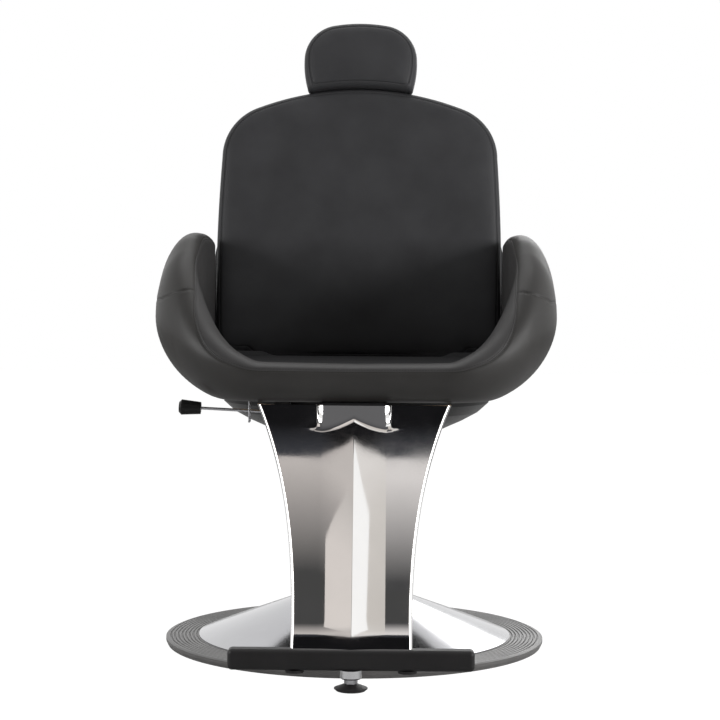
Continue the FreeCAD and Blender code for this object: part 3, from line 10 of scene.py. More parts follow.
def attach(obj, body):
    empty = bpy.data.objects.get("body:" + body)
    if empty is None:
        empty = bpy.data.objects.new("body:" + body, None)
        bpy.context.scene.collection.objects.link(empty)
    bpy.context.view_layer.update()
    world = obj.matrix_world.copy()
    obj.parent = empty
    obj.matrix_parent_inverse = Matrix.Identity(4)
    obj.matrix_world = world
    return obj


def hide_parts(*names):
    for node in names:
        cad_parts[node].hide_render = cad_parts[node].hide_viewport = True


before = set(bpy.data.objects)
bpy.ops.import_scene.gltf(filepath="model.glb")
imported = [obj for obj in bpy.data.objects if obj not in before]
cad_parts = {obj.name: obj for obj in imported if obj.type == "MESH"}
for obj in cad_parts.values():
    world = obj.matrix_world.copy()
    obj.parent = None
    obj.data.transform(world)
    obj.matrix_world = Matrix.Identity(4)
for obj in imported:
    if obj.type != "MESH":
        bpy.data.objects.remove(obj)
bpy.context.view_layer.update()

# The looks of a threading chair. Lengths are in millimetres until mesh() and place() turn them into metres.
# X is the right of someone who faces the chair, the chair faces -Y, and Z is up.

MM = 0.001


# Camera and light

CAMERA_PLACE, CAMERA_LENS = (36.79, -3170.23, 598.70), 96.39
CAMERA_TURNS = (-0.559, -2.422, 0.4405)


def camera():
    """A long lens a little above the seat, turned and tipped by a degree or two."""
    yaw, pitch, roll = map(math.radians, CAMERA_TURNS)
    look = Vector((math.sin(yaw) * math.cos(pitch), math.cos(yaw) * math.cos(pitch), math.sin(pitch)))
    level = Vector((math.cos(yaw), -math.sin(yaw), 0))
    upright = level.cross(look)
    right = level * math.cos(roll) + upright * math.sin(roll)
    up = upright * math.cos(roll) - level * math.sin(roll)
    data = bpy.data.cameras.new("camera")
    data.sensor_width = 36
    data.lens = CAMERA_LENS
    data.clip_end = 60
    eye = bpy.data.objects.new("camera", data)
    eye.matrix_world = Matrix((right, up, -look)).transposed().to_4x4()
    eye.location = Vector(CAMERA_PLACE) * MM
    bpy.context.scene.collection.objects.link(eye)
    bpy.context.scene.camera = eye


def lamp(name, size, power, place, aim):
    """A soft rectangular lamp, placed and aimed in metres."""
    data = bpy.data.lights.new(name, "AREA")
    data.shape = "RECTANGLE"
    data.size, data.size_y = size
    data.energy = power
    item = bpy.data.objects.new(name, data)
    item.location = place
    item.rotation_euler = (Vector(aim) - Vector(place)).to_track_quat("-Z", "Y").to_euler()
    bpy.context.scene.collection.objects.link(item)


# Node materials

class Nodes:
    """A material's node tree, written as short calls that return output sockets."""

    def __init__(self, name):
        self.material = bpy.data.materials.new(name)
        self.material.use_nodes = True
        self.tree = self.material.node_tree
        self.shader = self.tree.nodes["Principled BSDF"]

    def add(self, kind, out, inputs=None, **settings):
        item = self.tree.nodes.new(kind)
        for key, value in settings.items():
            setattr(item, key, value)
        for key, value in (inputs or {}).items():
            if isinstance(value, bpy.types.NodeSocket):
                self.tree.links.new(value, item.inputs[key])
            else:
                item.inputs[key].default_value = value
        return item.outputs[out]

    def place(self, stretch=(1, 1, 1)):
        """Object coordinates, in millimetres, stretched along the axes."""
        spot = self.add("ShaderNodeTexCoord", "Object")
        scale = tuple(share / MM for share in stretch)
        return self.add("ShaderNodeMapping", "Vector", {"Vector": spot, "Scale": scale})

    def noise(self, size, detail=2, rough=0.5, stretch=(1, 1, 1)):
        return self.add("ShaderNodeTexNoise", "Fac", {
            "Vector": self.place(stretch), "Scale": 1 / size, "Detail": detail, "Roughness": rough})

    def cells(self, size):
        return self.add("ShaderNodeTexVoronoi", "Distance", {"Vector": self.place(), "Scale": 1 / size},
                        feature="SMOOTH_F1")

    def span(self, value, low, high, start=0.3, end=0.7):
        return self.add("ShaderNodeMapRange", "Result", {
            "Value": value, "From Min": start, "From Max": end, "To Min": low, "To Max": high})

    def sum(self, a, b, gain=1):
        scaled = self.add("ShaderNodeMath", 0, {0: b, 1: gain}, operation="MULTIPLY")
        return self.add("ShaderNodeMath", 0, {0: a, 1: scaled}, operation="ADD")

    def blend(self, share, first, second):
        item = self.tree.nodes.new("ShaderNodeMix")
        item.data_type = "RGBA"
        self.tree.links.new(share, item.inputs[0])
        for socket, colour in ((item.inputs[6], first), (item.inputs[7], second)):
            if isinstance(colour, bpy.types.NodeSocket):
                self.tree.links.new(colour, socket)
            else:
                socket.default_value = (*colour, 1)
        return item.outputs[2]

    def shaded(self, value, colour, share):
        """The colour, a share darker at low values and a share lighter at high ones."""
        return self.blend(self.span(value, 0, 1), tuple(c * (1 - share) for c in colour),
                          tuple(c * (1 + share) for c in colour))

    def bump(self, height, depth, strength):
        """Relief of a depth in millimetres."""
        return self.add("ShaderNodeBump", "Normal", {
            "Height": height, "Distance": depth * MM, "Strength": strength})

    def finish(self, **inputs):
        for key, value in inputs.items():
            socket = self.shader.inputs[key.replace("_", " ")]
            if isinstance(value, bpy.types.NodeSocket):
                self.tree.links.new(value, socket)
            elif isinstance(value, tuple):
                socket.default_value = (*value, 1)
            else:
                socket.default_value = value
        return self.material


def leather(name, colour, rough, shine=0.28):
    """Smooth artificial leather: fine pebble grain, faint creases, slightly uneven colour and sheen."""
    n = Nodes(name)
    pebble = n.cells(1.1)
    fine = n.noise(0.5, 3)
    relief = n.sum(n.span(pebble, 1, 0, 0, 0.7), fine, 0.35)
    shade = n.noise(70, 3)
    tone = n.shaded(shade, colour, 0.12)
    gloss = n.sum(n.span(shade, rough - 0.04, rough + 0.04), n.span(fine, -0.05, 0.05))
    return n.finish(Base_Color=tone, Roughness=gloss, Normal=n.bump(relief, 0.12, 0.5),
                    Specular_IOR_Level=shine)


def rubber(name, colour, rough, shine=0.3):
    """Moulded rubber or dull thread: a speckled surface, slightly uneven in colour."""
    n = Nodes(name)
    speck = n.noise(1.4, 4, 0.7)
    shade = n.noise(40, 3)
    tone = n.shaded(shade, colour, 0.15)
    return n.finish(Base_Color=tone, Roughness=n.span(speck, rough - 0.08, rough + 0.08),
                    Normal=n.bump(speck, 0.08, 0.4), Specular_IOR_Level=shine)


def metal(name, colour, rough, streak=(1, 1, 1), size=1.5, depth=0.01, spread=0.3):
    """Metal with fine wear; a stretched streak makes it look drawn or brushed along an axis."""
    n = Nodes(name)
    line = n.noise(size, 4, 0.6, streak)
    cloud = n.noise(60, 3)
    tone = n.blend(n.span(cloud, 0, 1), tuple(c * 0.95 for c in colour), colour)
    gloss = n.sum(n.span(line, rough * (1 - spread), rough * (1 + spread)), n.span(cloud, -0.02, 0.02))
    return n.finish(Base_Color=tone, Metallic=1.0, Roughness=gloss, Normal=n.bump(line, depth, 0.5))


def painted(name, colour, rough=0.45, shine=0.35):
    """Powder coat: orange-peel relief over a plain colour."""
    n = Nodes(name)
    peel = n.noise(1.8, 2, 0.4)
    shade = n.noise(50, 3)
    tone = n.shaded(shade, colour, 0.1)
    return n.finish(Base_Color=tone, Roughness=n.span(peel, rough - 0.06, rough + 0.06),
                    Normal=n.bump(peel, 0.06, 0.5), Specular_IOR_Level=shine)


def plywood(name):
    """Bare plywood with its grain along X."""
    n = Nodes(name)
    grain = n.noise(2.4, 4, 0.6, (0.06, 1, 1))
    ring = n.noise(25, 2, 0.5, (0.1, 1, 1))
    share = n.sum(n.span(grain, 0, 0.7), n.span(ring, 0, 0.3))
    tone = n.blend(share, (0.30, 0.19, 0.10), (0.55, 0.40, 0.25))
    return n.finish(Base_Color=tone, Roughness=n.span(grain, 0.55, 0.75), Normal=n.bump(grain, 0.15, 0.4))


# Meshes

def mesh(name, points, faces):
    """A smooth-shaded object from points in millimetres."""
    data = bpy.data.meshes.new(name)
    data.from_pydata([Vector(point) * MM for point in points], [], faces)
    data.validate()
    built = bmesh.new()
    built.from_mesh(data)
    bmesh.ops.remove_doubles(built, verts=built.verts, dist=1e-6)
    bmesh.ops.recalc_face_normals(built, faces=built.faces)
    built.to_mesh(data)
    built.free()
    data.polygons.foreach_set("use_smooth", [True] * len(data.polygons))
    item = bpy.data.objects.new(name, data)
    bpy.context.scene.collection.objects.link(item)
    return item


def skin(name, rings, caps=(True, True)):
    """Quads between closed rings of equal length, with a fan over each end that is wanted."""
    count = len(rings[0])
    points = [point for ring in rings for point in ring]
    faces = []
    for row in range(len(rings) - 1):
        for i in range(count):
            a, b = row * count + i, row * count + (i + 1) % count
            faces.append((a, b, b + count, a + count))
    for wanted, row in zip(caps, (0, len(rings) - 1)):
        if wanted:
            middle = sum((Vector(p) for p in rings[row]), Vector()) / count
            points.append(tuple(middle))
            for i in range(count):
                faces.append((row * count + i, row * count + (i + 1) % count, len(points) - 1))
    return mesh(name, points, faces)


def dressed(item, material, body):
    """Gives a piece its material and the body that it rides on."""
    item.data.materials.append(material)
    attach(item, body)
    return item


# Outlines and profiles

EDGE_STEPS = 40


def arc(a, b, c, count):
    """Points on the circle through three points, the last one left out."""
    (ax, ay), (bx, by), (cx, cy) = a, b, c
    d = 2 * (ax * (by - cy) + bx * (cy - ay) + cx * (ay - by))
    sa, sb, sc = ax * ax + ay * ay, bx * bx + by * by, cx * cx + cy * cy
    ux = (sa * (by - cy) + sb * (cy - ay) + sc * (ay - by)) / d
    uy = (sa * (cx - bx) + sb * (ax - cx) + sc * (bx - ax)) / d
    start = math.atan2(ay - uy, ax - ux)
    turn = (math.atan2(cy - uy, cx - ux) - start) % math.tau
    if (math.atan2(by - uy, bx - ux) - start) % math.tau > turn:
        turn -= math.tau
    radius = math.hypot(ax - ux, ay - uy)
    angles = [start + turn * i / count for i in range(count)]
    return [(ux + radius * math.cos(angle), uy + radius * math.sin(angle)) for angle in angles]


def flipped(edges):
    """The same outline rows on the other side, in the opposite order."""
    return [(kind, *[(-x, z) for x, z in reversed(points)]) for kind, *points in reversed(edges)]


def outline(edges, count):
    """A closed outline of line and arc rows as evenly spaced points."""
    run = []
    for kind, *points in edges:
        if kind == "line":
            (ax, ay), (bx, by) = points
            run += [(ax + (bx - ax) * i / EDGE_STEPS, ay + (by - ay) * i / EDGE_STEPS)
                    for i in range(EDGE_STEPS)]
        else:
            run += arc(*points, EDGE_STEPS)
    return spaced(run, count, closed=True)


def spaced(run, count, closed=False):
    """The same line as count points at even steps."""
    points = [Vector(p) for p in run] + ([Vector(run[0])] if closed else [])
    sums = [0.0]
    for a, b in zip(points, points[1:]):
        sums.append(sums[-1] + (b - a).length)
    result = []
    for i in range(count):
        goal = sums[-1] * i / (count if closed else count - 1)
        at = min(max(bisect.bisect_right(sums, goal) - 1, 0), len(points) - 2)
        share = (goal - sums[at]) / max(sums[at + 1] - sums[at], 1e-9)
        result.append(tuple(points[at].lerp(points[at + 1], share)))
    return result


def smooth(table, at):
    """Reads a smooth curve through (place, value) rows."""
    places = [row[0] for row in table]
    i = min(max(bisect.bisect_right(places, at) - 1, 0), len(table) - 2)
    (x0, y0), (x1, y1) = table[i], table[i + 1]
    share = min(max((at - x0) / (x1 - x0), 0), 1)

    def slope(j):
        if j in (0, len(table) - 1):
            k = min(j, len(table) - 2)
            return (table[k + 1][1] - table[k][1]) / (table[k + 1][0] - table[k][0])
        (xa, ya), (xb, yb), (xc, yc) = table[j - 1:j + 2]
        left, right = (yb - ya) / (xb - xa), (yc - yb) / (xc - xb)
        return 0 if left * right <= 0 else 2 * left * right / (left + right)

    s2, s3 = share * share, share ** 3
    return (y0 * (2 * s3 - 3 * s2 + 1) + y1 * (3 * s2 - 2 * s3)
            + (x1 - x0) * (slope(i) * (s3 - 2 * s2 + share) + slope(i + 1) * (s3 - s2)))


# The backrest's own frame: x across, n back from the hinge line, t up its lean

HINGE = Vector((0, 205, 440))
LEAN = math.radians(12)
BACK_HALF, BACK_MIDDLE = (252, 240.5), (0, 269.5)


def leaned(x, n, t):
    """A point of the backrest's frame, placed on the chair."""
    return (x, HINGE.y + n * math.cos(LEAN) + t * math.sin(LEAN),
            HINGE.z - n * math.sin(LEAN) + t * math.cos(LEAN))


def back_edges(drop=0):
    """The backrest's outline in x and t. Its foot is lower by the drop between the arms' ledges."""
    foot, corner, low, mid, high, shoulder = 30, 26, 250, 252, 246, 384
    crest_half, crest, top = 181, 476, 510
    bend = (high - (high - crest_half) * 0.25, shoulder + (crest - shoulder) * 0.59)
    nick = corner * (1 - math.sqrt(0.5))
    right = [("arc", (low - corner, foot), (low - nick, foot + nick), (low, foot + corner)),
             ("arc", (low, foot + corner), (mid, (foot + corner + shoulder) / 2), (high, shoulder)),
             ("arc", (high, shoulder), bend, (crest_half, crest))]
    turns = [(corner - low, foot), (-200, foot), (-184, foot - drop), (184, foot - drop), (200, foot),
             (low - corner, foot)]
    return ([("line", p, q) for p, q in zip(turns, turns[1:])] + right
            + [("arc", (crest_half, crest), (0, top), (-crest_half, crest))] + flipped(right))


# How far the rear cover swells sideways, by its height along the lean
REAR_SWELL = [(0, 0), (40, 0.2), (85, 1), (210, 1), (250, 0.25), (290, 0), (600, 0)]


def head_edges():
    """The headrest's outline, arched over the backrest's crest at its foot."""
    foot, top, side, crown = 503.4, 631.4, 562, (51.5, 626.5)
    right = [("arc", (88, foot), (93, foot + 2), (95, foot + 7)),
             ("arc", (95, foot + 7), (100.3, 536.2), (101.5, side)),
             ("arc", (101.5, side), (88.3, 602.4), crown)]
    return ([("arc", (-88, foot), (0, foot + 7.8), (88, foot))] + right
            + [("arc", crown, (0, top), (-crown[0], crown[1]))] + flipped(right))


def seat_swell(x, y):
    """The seat pad stands a little higher at its two rear corners."""
    across, back = min(max((abs(x) - 140) / 30, 0), 1), min(max((y - 120) / 35, 0), 1)
    return 8 * across * across * (3 - 2 * across) * back * back * (3 - 2 * back)


def seat_edges():
    wide, front, rear, turn, tail = 252, -214, 186, 122, 30
    nick, tail_nick = turn * (1 - math.sqrt(0.5)), tail * (1 - math.sqrt(0.5))
    return [("line", (turn - wide, front), (wide - turn, front)),
            ("arc", (wide - turn, front), (wide - nick, front + nick), (wide, front + turn)),
            ("line", (wide, front + turn), (wide, rear - tail)),
            ("arc", (wide, rear - tail), (wide - tail_nick, rear - tail_nick), (wide - tail, rear)),
            ("line", (wide - tail, rear), (tail - wide, rear)),
            ("arc", (tail - wide, rear), (tail_nick - wide, rear - tail_nick), (-wide, rear - tail)),
            ("line", (-wide, rear - tail), (-wide, front + turn)),
            ("arc", (-wide, front + turn), (nick - wide, front + nick), (turn - wide, front))]


# Padded pieces: rings of one outline, drawn in towards its middle along a profile

class Pillow:
    """A padded form whose (depth, inset) profile runs from its front's middle to its rear's middle."""

    def __init__(self, edges, half, middle, profile, place, count):
        self.line = outline(edges, count)
        self.half, self.middle, self.place = half, middle, place
        self.depths = [(i, depth) for i, (depth, inset) in enumerate(profile)]
        self.insets = [(i, inset) for i, (depth, inset) in enumerate(profile)]

    def level(self, at):
        """The (depth, inset) at a place on the profile, where each whole number is a row."""
        return smooth(self.depths, at), smooth(self.insets, at)

    def pace(self, at):
        """How far the place moves on the profile for a millimetre of the surface."""
        a, b = self.level(at - 0.05), self.level(at + 0.05)
        return 0.1 / max(math.hypot(a[0] - b[0], a[1] - b[1]), 1e-6)

    def ring(self, at, lift=0.0):
        """A ring at a profile place, lifted along the surface's outward side."""
        depth, inset = self.level(at)
        ahead, behind = self.level(at + 0.02), self.level(at - 0.02)
        run = Vector((-(ahead[1] - behind[1]), ahead[0] - behind[0]))
        run = run.normalized() if run.length > 1e-9 else Vector((1, 0))
        out, back = lift * run.y, -lift * run.x
        points = []
        for x, z in self.line:
            spot = []
            for value, mid, reach in zip((x, z), self.middle, self.half):
                spot.append(mid + (value - mid) * (reach - inset + out) / reach)
            points.append(self.place(spot[0], depth + back, spot[1]))
        return points

    def find(self, inset, start, end):
        """The profile place between two rows where the inset is reached."""
        low, high = start, end
        rising = self.level(end)[1] > self.level(start)[1]
        for _ in range(40):
            middle = (low + high) / 2
            if (self.level(middle)[1] < inset) == rising:
                low = middle
            else:
                high = middle
        return (low + high) / 2


def steps(start, end, count):
    return [start + (end - start) * i / count for i in range(count)]


# A sewn seam across a pillow's cover, as (offset, lift) in shares of its width and depth
FURROW_WIDTH, FURROW_DEPTH = 2.2, 1.3
FURROW = [(-2.2, 0), (-1.2, 0.25), (-0.6, -0.1), (-0.2, -0.8), (0.2, -0.8), (0.6, -0.1), (1.2, 0.25),
          (2.2, 0)]


def furrow(pillow, at):
    """Profile places and lifts of a sewn seam: the cover swells, dips to the stitch line and swells again."""
    scale = pillow.pace(at)
    return [(at + share * FURROW_WIDTH * scale, lift * FURROW_DEPTH) for share, lift in FURROW]


def padded_skin(name, pillow, seams, rows):
    """The cover of a pillow, with a furrow at each seam."""
    places = [(at, 0.0) for at in rows]
    for seam in seams:
        dent = furrow(pillow, seam)
        places = [row for row in places if not dent[0][0] < row[0] < dent[-1][0]] + dent
    rings = [pillow.ring(at, lift) for at, lift in sorted(places)]
    return skin(name, rings)


# One stitch, as (place along, width, height) in shares of its length and radius
STITCH = [(-0.5, 0.45, -0.5), (-0.25, 1, 0.1), (0.25, 1, 0.1), (0.5, 0.45, -0.5)]
STITCH_SIDES, STITCH_PITCH, STITCH_LENGTH, STITCH_RADIUS = 5, 4.4, 3.0, 0.32


def stitches(name, rows, closed=False):
    """Short threads laid end to end along lines, each dipping into the cover at its ends."""
    points, faces = [], []
    for line, normals in rows:
        total = sum((Vector(b) - Vector(a)).length for a, b in zip(line, line[1:]))
        count = max(int(total / STITCH_PITCH), 2)
        centres = [Vector(spot) for spot in spaced(line, count, closed)]
        for i in range(count if closed else count - 1):
            ahead = (centres[(i + 1) % count] - centres[i]).normalized()
            up = Vector(normals[min(int(i * len(line) / count), len(normals) - 1)]).normalized()
            side = ahead.cross(up).normalized()
            start = len(points)
            for along, size, sink in STITCH:
                middle = centres[i] + ahead * STITCH_LENGTH * along + up * STITCH_RADIUS * sink
                for k in range(STITCH_SIDES):
                    angle = math.tau * k / STITCH_SIDES
                    out = side * math.cos(angle) + up * math.sin(angle)
                    points.append(middle + out * STITCH_RADIUS * size)
            for row in range(len(STITCH) - 1):
                for k in range(STITCH_SIDES):
                    a = start + row * STITCH_SIDES + k
                    b = start + row * STITCH_SIDES + (k + 1) % STITCH_SIDES
                    faces.append((a, b, b + STITCH_SIDES, a + STITCH_SIDES))
    return mesh(name, points, faces)


def thread_rows(pillow, at, gap=1.7):
    """Two closed stitch lines, one on each side of a seam."""
    rows = []
    for side in (-gap, gap):
        place = at + side * pillow.pace(at)
        line = [Vector(p) for p in pillow.ring(place, -0.15)]
        above = [Vector(p) for p in pillow.ring(place, 1.0)]
        rows.append((line, [(q - p).normalized() for p, q in zip(line, above)]))
    return rows


# The bucket: one section carried round a U from the rear of an arm to the middle of the front roll

ARM_X, ARM_REAR, TURN_RADIUS, TURN_X, TURN_Y = 291, 245, 150, 141, -90
ARM_RUN, TURN_RUN, ROLL_RUN = 335.0, 75 * math.pi, 141.0
HALF_RUN = ARM_RUN + TURN_RUN + ROLL_RUN


def turn_rows(table):
    """Rows given by share of the arm, then of the turn, then of the roll, as rows by distance."""
    starts, lengths = (0, ARM_RUN, ARM_RUN + TURN_RUN), (ARM_RUN, TURN_RUN, ROLL_RUN)
    return [(starts[part] + lengths[part] * share, value) for part, share, value in table]


# The crest's height as a share of the arm's, from the arm's rear to the middle of the roll
RISE = turn_rows([(0, 0, 0.97), (0, 0.04, 0.98), (0, 0.3, 1), (0, 0.58, 0.995), (0, 0.82, 0.95), (1, 0, 0.84),
                  (1, 1 / 6, 0.73), (1, 2 / 6, 0.585), (1, 3 / 6, 0.4), (1, 4 / 6, 0.215), (1, 5 / 6, 0.08),
                  (1, 1, 0.01), (2, 1, 0)])
# How far the section has changed from the arm's to the roll's
TURN = turn_rows([(0, 0, 0), (0, 0.82, 0), (1, 0, 0.05), (1, 1 / 6, 0.15), (1, 2 / 6, 0.3), (1, 3 / 6, 0.5),
                  (1, 4 / 6, 0.72), (1, 5 / 6, 0.9), (1, 1, 1), (2, 1, 1)])
# How far the outer side is drawn in, as a share of DRAW_DEPTH
DRAW_DEPTH = 9.7
DRAW = turn_rows([(0, 0, 0), (0, 0.3, 0), (0, 0.58, 0.2), (0, 0.82, 0.56), (1, 0, 0.82), (1, 1 / 6, 0.92),
                  (1, 2 / 6, 1), (1, 3 / 6, 0.69), (1, 4 / 6, 0.37), (1, 5 / 6, 0.19), (1, 1, 0), (2, 1, 0)])


def bucket_frame(run):
    """Where the section's middle is and which way its outer side faces, at a distance from the arm's rear."""
    if run <= ARM_RUN:
        return (ARM_X, ARM_REAR - run), (1, 0)
    if run <= ARM_RUN + TURN_RUN:
        angle = (run - ARM_RUN) / TURN_RADIUS
        outward = (math.cos(angle), -math.sin(angle))
        return (TURN_X + TURN_RADIUS * outward[0], TURN_Y + TURN_RADIUS * outward[1]), outward
    return (TURN_X - (run - ARM_RUN - TURN_RUN), TURN_Y - TURN_RADIUS), (0, -1)


def between(arm, roll, turn):
    """A size of the section on its way from the arm's to the roll's."""
    return arm + (roll - arm) * turn


UNDER_POWER = 1.08


def bucket_point(run, at):
    """A point of the cover: at runs 0 to 1 up the inner wall, to 2 over the crest, to 3 down to the widest
    line, to 4 under to the foot, and to 5 back along the underside."""
    turn, rise = smooth(TURN, run), smooth(RISE, run)
    rear_round, rear_depth = 13.4, 12
    pinch = rear_depth * (1 - math.sqrt(max(0.0, 1 - (1 - min(run / rear_round, 1)) ** 2)))
    half = between(38, 25, turn)
    inner, outer = pinch - half, half - pinch - DRAW_DEPTH * smooth(DRAW, run)
    foot = between(-100.5, -15, turn) + pinch * 3 * (1 - turn)
    crest = half - between(58, 25, turn)
    roll_top, arm_rise = 469, 205
    low, top = 409 + pinch, roll_top + arm_rise * rise - pinch
    fold = between(18, 14, turn)
    ledge = between(442, 427, turn) + pinch
    wide = low + (top - low) * between(0.546, 0.7, turn)
    part, share = min(int(at), 4), at - min(int(at), 4)
    angle = math.radians(90 * share)
    if part == 0:
        across, up = inner, ledge + (top - fold - ledge) * share
    elif part == 1:
        across, up = crest - (crest - inner) * math.cos(angle), top - fold + fold * math.sin(angle)
    elif part == 2:
        across, up = crest + (outer - crest) * math.sin(angle), wide + (top - wide) * math.cos(angle)
    elif part == 3:
        flat, deep = max(math.cos(angle), 0) ** UNDER_POWER, max(math.sin(angle), 0) ** UNDER_POWER
        across, up = foot + (outer - foot) * flat, wide - (wide - low) * deep
    else:
        across, up = foot + (inner - foot) * share, low + (ledge - low) * share
    (x, y), (ox, oy) = bucket_frame(run)
    return Vector((x + ox * across, y + oy * across, up))


# Where the bucket's seams run, as (run, at): the long one round its inner edge, and one along the outer side
# of each arm. SIDE_ROWS carries the side seam's line on round the roll, for the mesh alone.
SEAM = [(0, 1.36), (200, 1.32), (300, 1.2), (350, 1.28), (393, 1.5), (425, 1.85), (453, 2.21), (477, 2.52),
        (500, 2.75), (520, 2.83), (543, 2.83), (571, 2.75), (635, 2.73), (711, 2.72)]
SIDE_SEAM = [(2, 2.86), (150, 2.87), (300, 2.86), (345, 2.83), (363, 2.78), (375, 2.745), (391, 2.645),
             (403, 2.535), (412.5, 2.41), (419, 2.28), (423, 2.13), (425, 1.99), (426.5, 1.865)]
SIDE_ROWS = SIDE_SEAM[:-2] + [(427, 2.03), (440, 2.27), (453, 2.43), (477, 2.72), (500, 2.93), (520, 3),
                              (711, 2.92)]
AT_REACH = 100  # about how many millimetres one step of at is on the arm's outer side


def bucket_normal(run, at):
    """The surface's outward side."""
    run, at = min(max(run, 1), HALF_RUN - 1), min(max(at, 0.02), 4.98)
    along = bucket_point(run + 1, at) - bucket_point(run - 1, at)
    round_it = bucket_point(run, at + 0.015) - bucket_point(run, at - 0.015)
    return along.cross(round_it).normalized() if along.cross(round_it).length else Vector((0, 0, 1))


def bucket_seams():
    """Both seams as points with the surface's outward side, on the half with the higher x."""
    inner = [(i / 2, smooth(SEAM, i / 2)) for i in range(int(HALF_RUN * 2))]
    sums = [0.0]
    for (r0, a0), (r1, a1) in zip(SIDE_SEAM, SIDE_SEAM[1:]):
        sums.append(sums[-1] + math.hypot(r1 - r0, (a1 - a0) * AT_REACH))
    runs = [(total, run) for total, (run, at) in zip(sums, SIDE_SEAM)]
    ats = [(total, at) for total, (run, at) in zip(sums, SIDE_SEAM)]
    count = 900
    places = [sums[-1] * i / count for i in range(count + 1)]
    side = [(smooth(runs, place), smooth(ats, place)) for place in places]
    return [[(bucket_point(*row), bucket_normal(*row)) for row in line] for line in (inner, side)]


SEAM_REACH = 14


def seam_lift(gap):
    """The cover's height by the distance from a seam, with a swell, a dip at each stitch row and a fold."""
    return smooth([(0, -0.85), (0.5, -0.6), (1.1, -0.1), (1.7, -0.25), (2.1, -0.4), (2.6, -0.25), (3.6, 0.06),
                   (5, 0.14), (8, 0.06), (SEAM_REACH, 0)], gap)


# The ring's columns: those before the seam, the offsets beside a seam in millimetres, and the rest
FLOOR_COLUMNS, WALL_COLUMNS, SIDE_COLUMNS, UNDER_COLUMNS, BASE_COLUMNS = 5, 15, 18, 24, 5
NEAR = (-8, -5, -3.5, -2.6, -2, -1.5, -1, -0.5, 0, 0.5, 1, 1.5, 2, 2.6, 3.5, 5, 8)
LAST_INNER_COLUMN = FLOOR_COLUMNS + WALL_COLUMNS + NEAR.index(0.5)


def bucket_ats(run):
    """The places round a ring, packed beside the seams."""
    centre, side = smooth(SEAM, run), smooth(SIDE_ROWS, run)
    reach = (bucket_point(run, centre + 0.02) - bucket_point(run, centre - 0.02)).length / 0.04
    slant = abs(smooth(SIDE_ROWS, run + 2) - smooth(SIDE_ROWS, max(run - 2, 0))) * AT_REACH / 4
    spread = math.sqrt(1 + min(slant, 3.2) ** 2)
    first = [centre + offset / max(reach, 40) for offset in NEAR]
    second = [side + offset * spread / 105 for offset in NEAR]
    second = [max(value, first[-1] + 0.004 * (i + 1)) for i, value in enumerate(second)]
    low = min(first[0] - 0.02, 1.0)
    return (steps(0.0, low, FLOOR_COLUMNS) + steps(low, first[0], WALL_COLUMNS) + first
            + steps(first[-1], second[0], SIDE_COLUMNS)[1:] + second
            + steps(second[-1], 4, UNDER_COLUMNS)[1:] + steps(4, 5, BASE_COLUMNS))


def mirrored(point):
    return Vector((-point.x, point.y, point.z))


def bucket_cover(lines):
    """The bucket's cover, dipping at its seams, and how many columns each of its rings has."""
    fine = [370 + 1.3 * i for i in range(55)]
    coarse = [HALF_RUN * i / 150 for i in range(151)]
    runs = sorted(set([0, 1, 2.5, 4.5, 7, 10] + fine + [run for run in coarse if not 368 < run < 442]))
    trees = []
    for line in lines:
        tree = KDTree(len(line))
        for i, (spot, up) in enumerate(line):
            tree.insert(spot, i)
        tree.balance()
        trees.append(tree)
    half = []
    for run in runs:
        ring = []
        for at in bucket_ats(run):
            spot = bucket_point(run, at)
            lift = seam_lift(trees[0].find(spot)[2])
            gap = trees[1].find(spot)[2]
            if at > smooth(SEAM, run) and gap < SEAM_REACH:
                both = lift, seam_lift(gap)
                lift = min(both) if min(both) < 0 else max(both)
            ring.append(spot + bucket_normal(run, at) * lift)
        half.append(ring)
    rings = half + [[mirrored(point) for point in ring] for ring in reversed(half[:-1])]
    return skin("bucket_cover", rings), len(rings[0])


def bucket_threads(lines):
    """Stitch lines on both sides of each seam: one seam goes all the way round, the other has a twin."""
    inner, side = lines
    far_inner, far_side = ([(mirrored(p), mirrored(n)) for p, n in line] for line in lines)
    offset, depth = 2.1, 0.45
    rows = []
    for line in (inner + far_inner[-2::-1], side, far_side):
        for shift in (-offset, offset):
            spots, ups = [], []
            for i, (p, n) in enumerate(line):
                ahead = (line[min(i + 1, len(line) - 1)][0] - line[max(i - 1, 0)][0]).normalized()
                spots.append(p + ahead.cross(n).normalized() * shift - n * depth)
                ups.append(n)
            rows.append((spots, ups))
    return rows


# The polished footrest panel: flat flanks, a keel whose sides curve up to a sharp crest, and a top block

PANEL_TOP, PANEL_FOOT, PANEL_FRONT, PANEL_SLOPE = 406, 62.5, 240, 0.4512
PANEL_HALF_TOP, PANEL_HALF_FOOT = 148, 88.7
TOE_TOP, TOE_BEND = 102, 0.0024
KEEL_HALF, KEEL_CREST = 50, 7.43
BLOCK_HALF, BLOCK_FRONT, BLOCK_FOOT = 47.5, 256, 384


def keel(x):
    """The keel's height over the flank: nearly straight by the crest, then easing out."""
    x, near, height = min(abs(x), KEEL_HALF), 15, 4.205
    if x < near:
        return KEEL_CREST - 0.245 * x + 0.002 * x * x
    return height * ((KEEL_HALF - x) / (KEEL_HALF - near)) ** 1.54


def flank_front(height):
    """How far forward the flat flanks stand: they lean out and bend forward at the toe."""
    return PANEL_FRONT + (PANEL_TOP - height) * PANEL_SLOPE + max(0, TOE_TOP - height) ** 2 * TOE_BEND


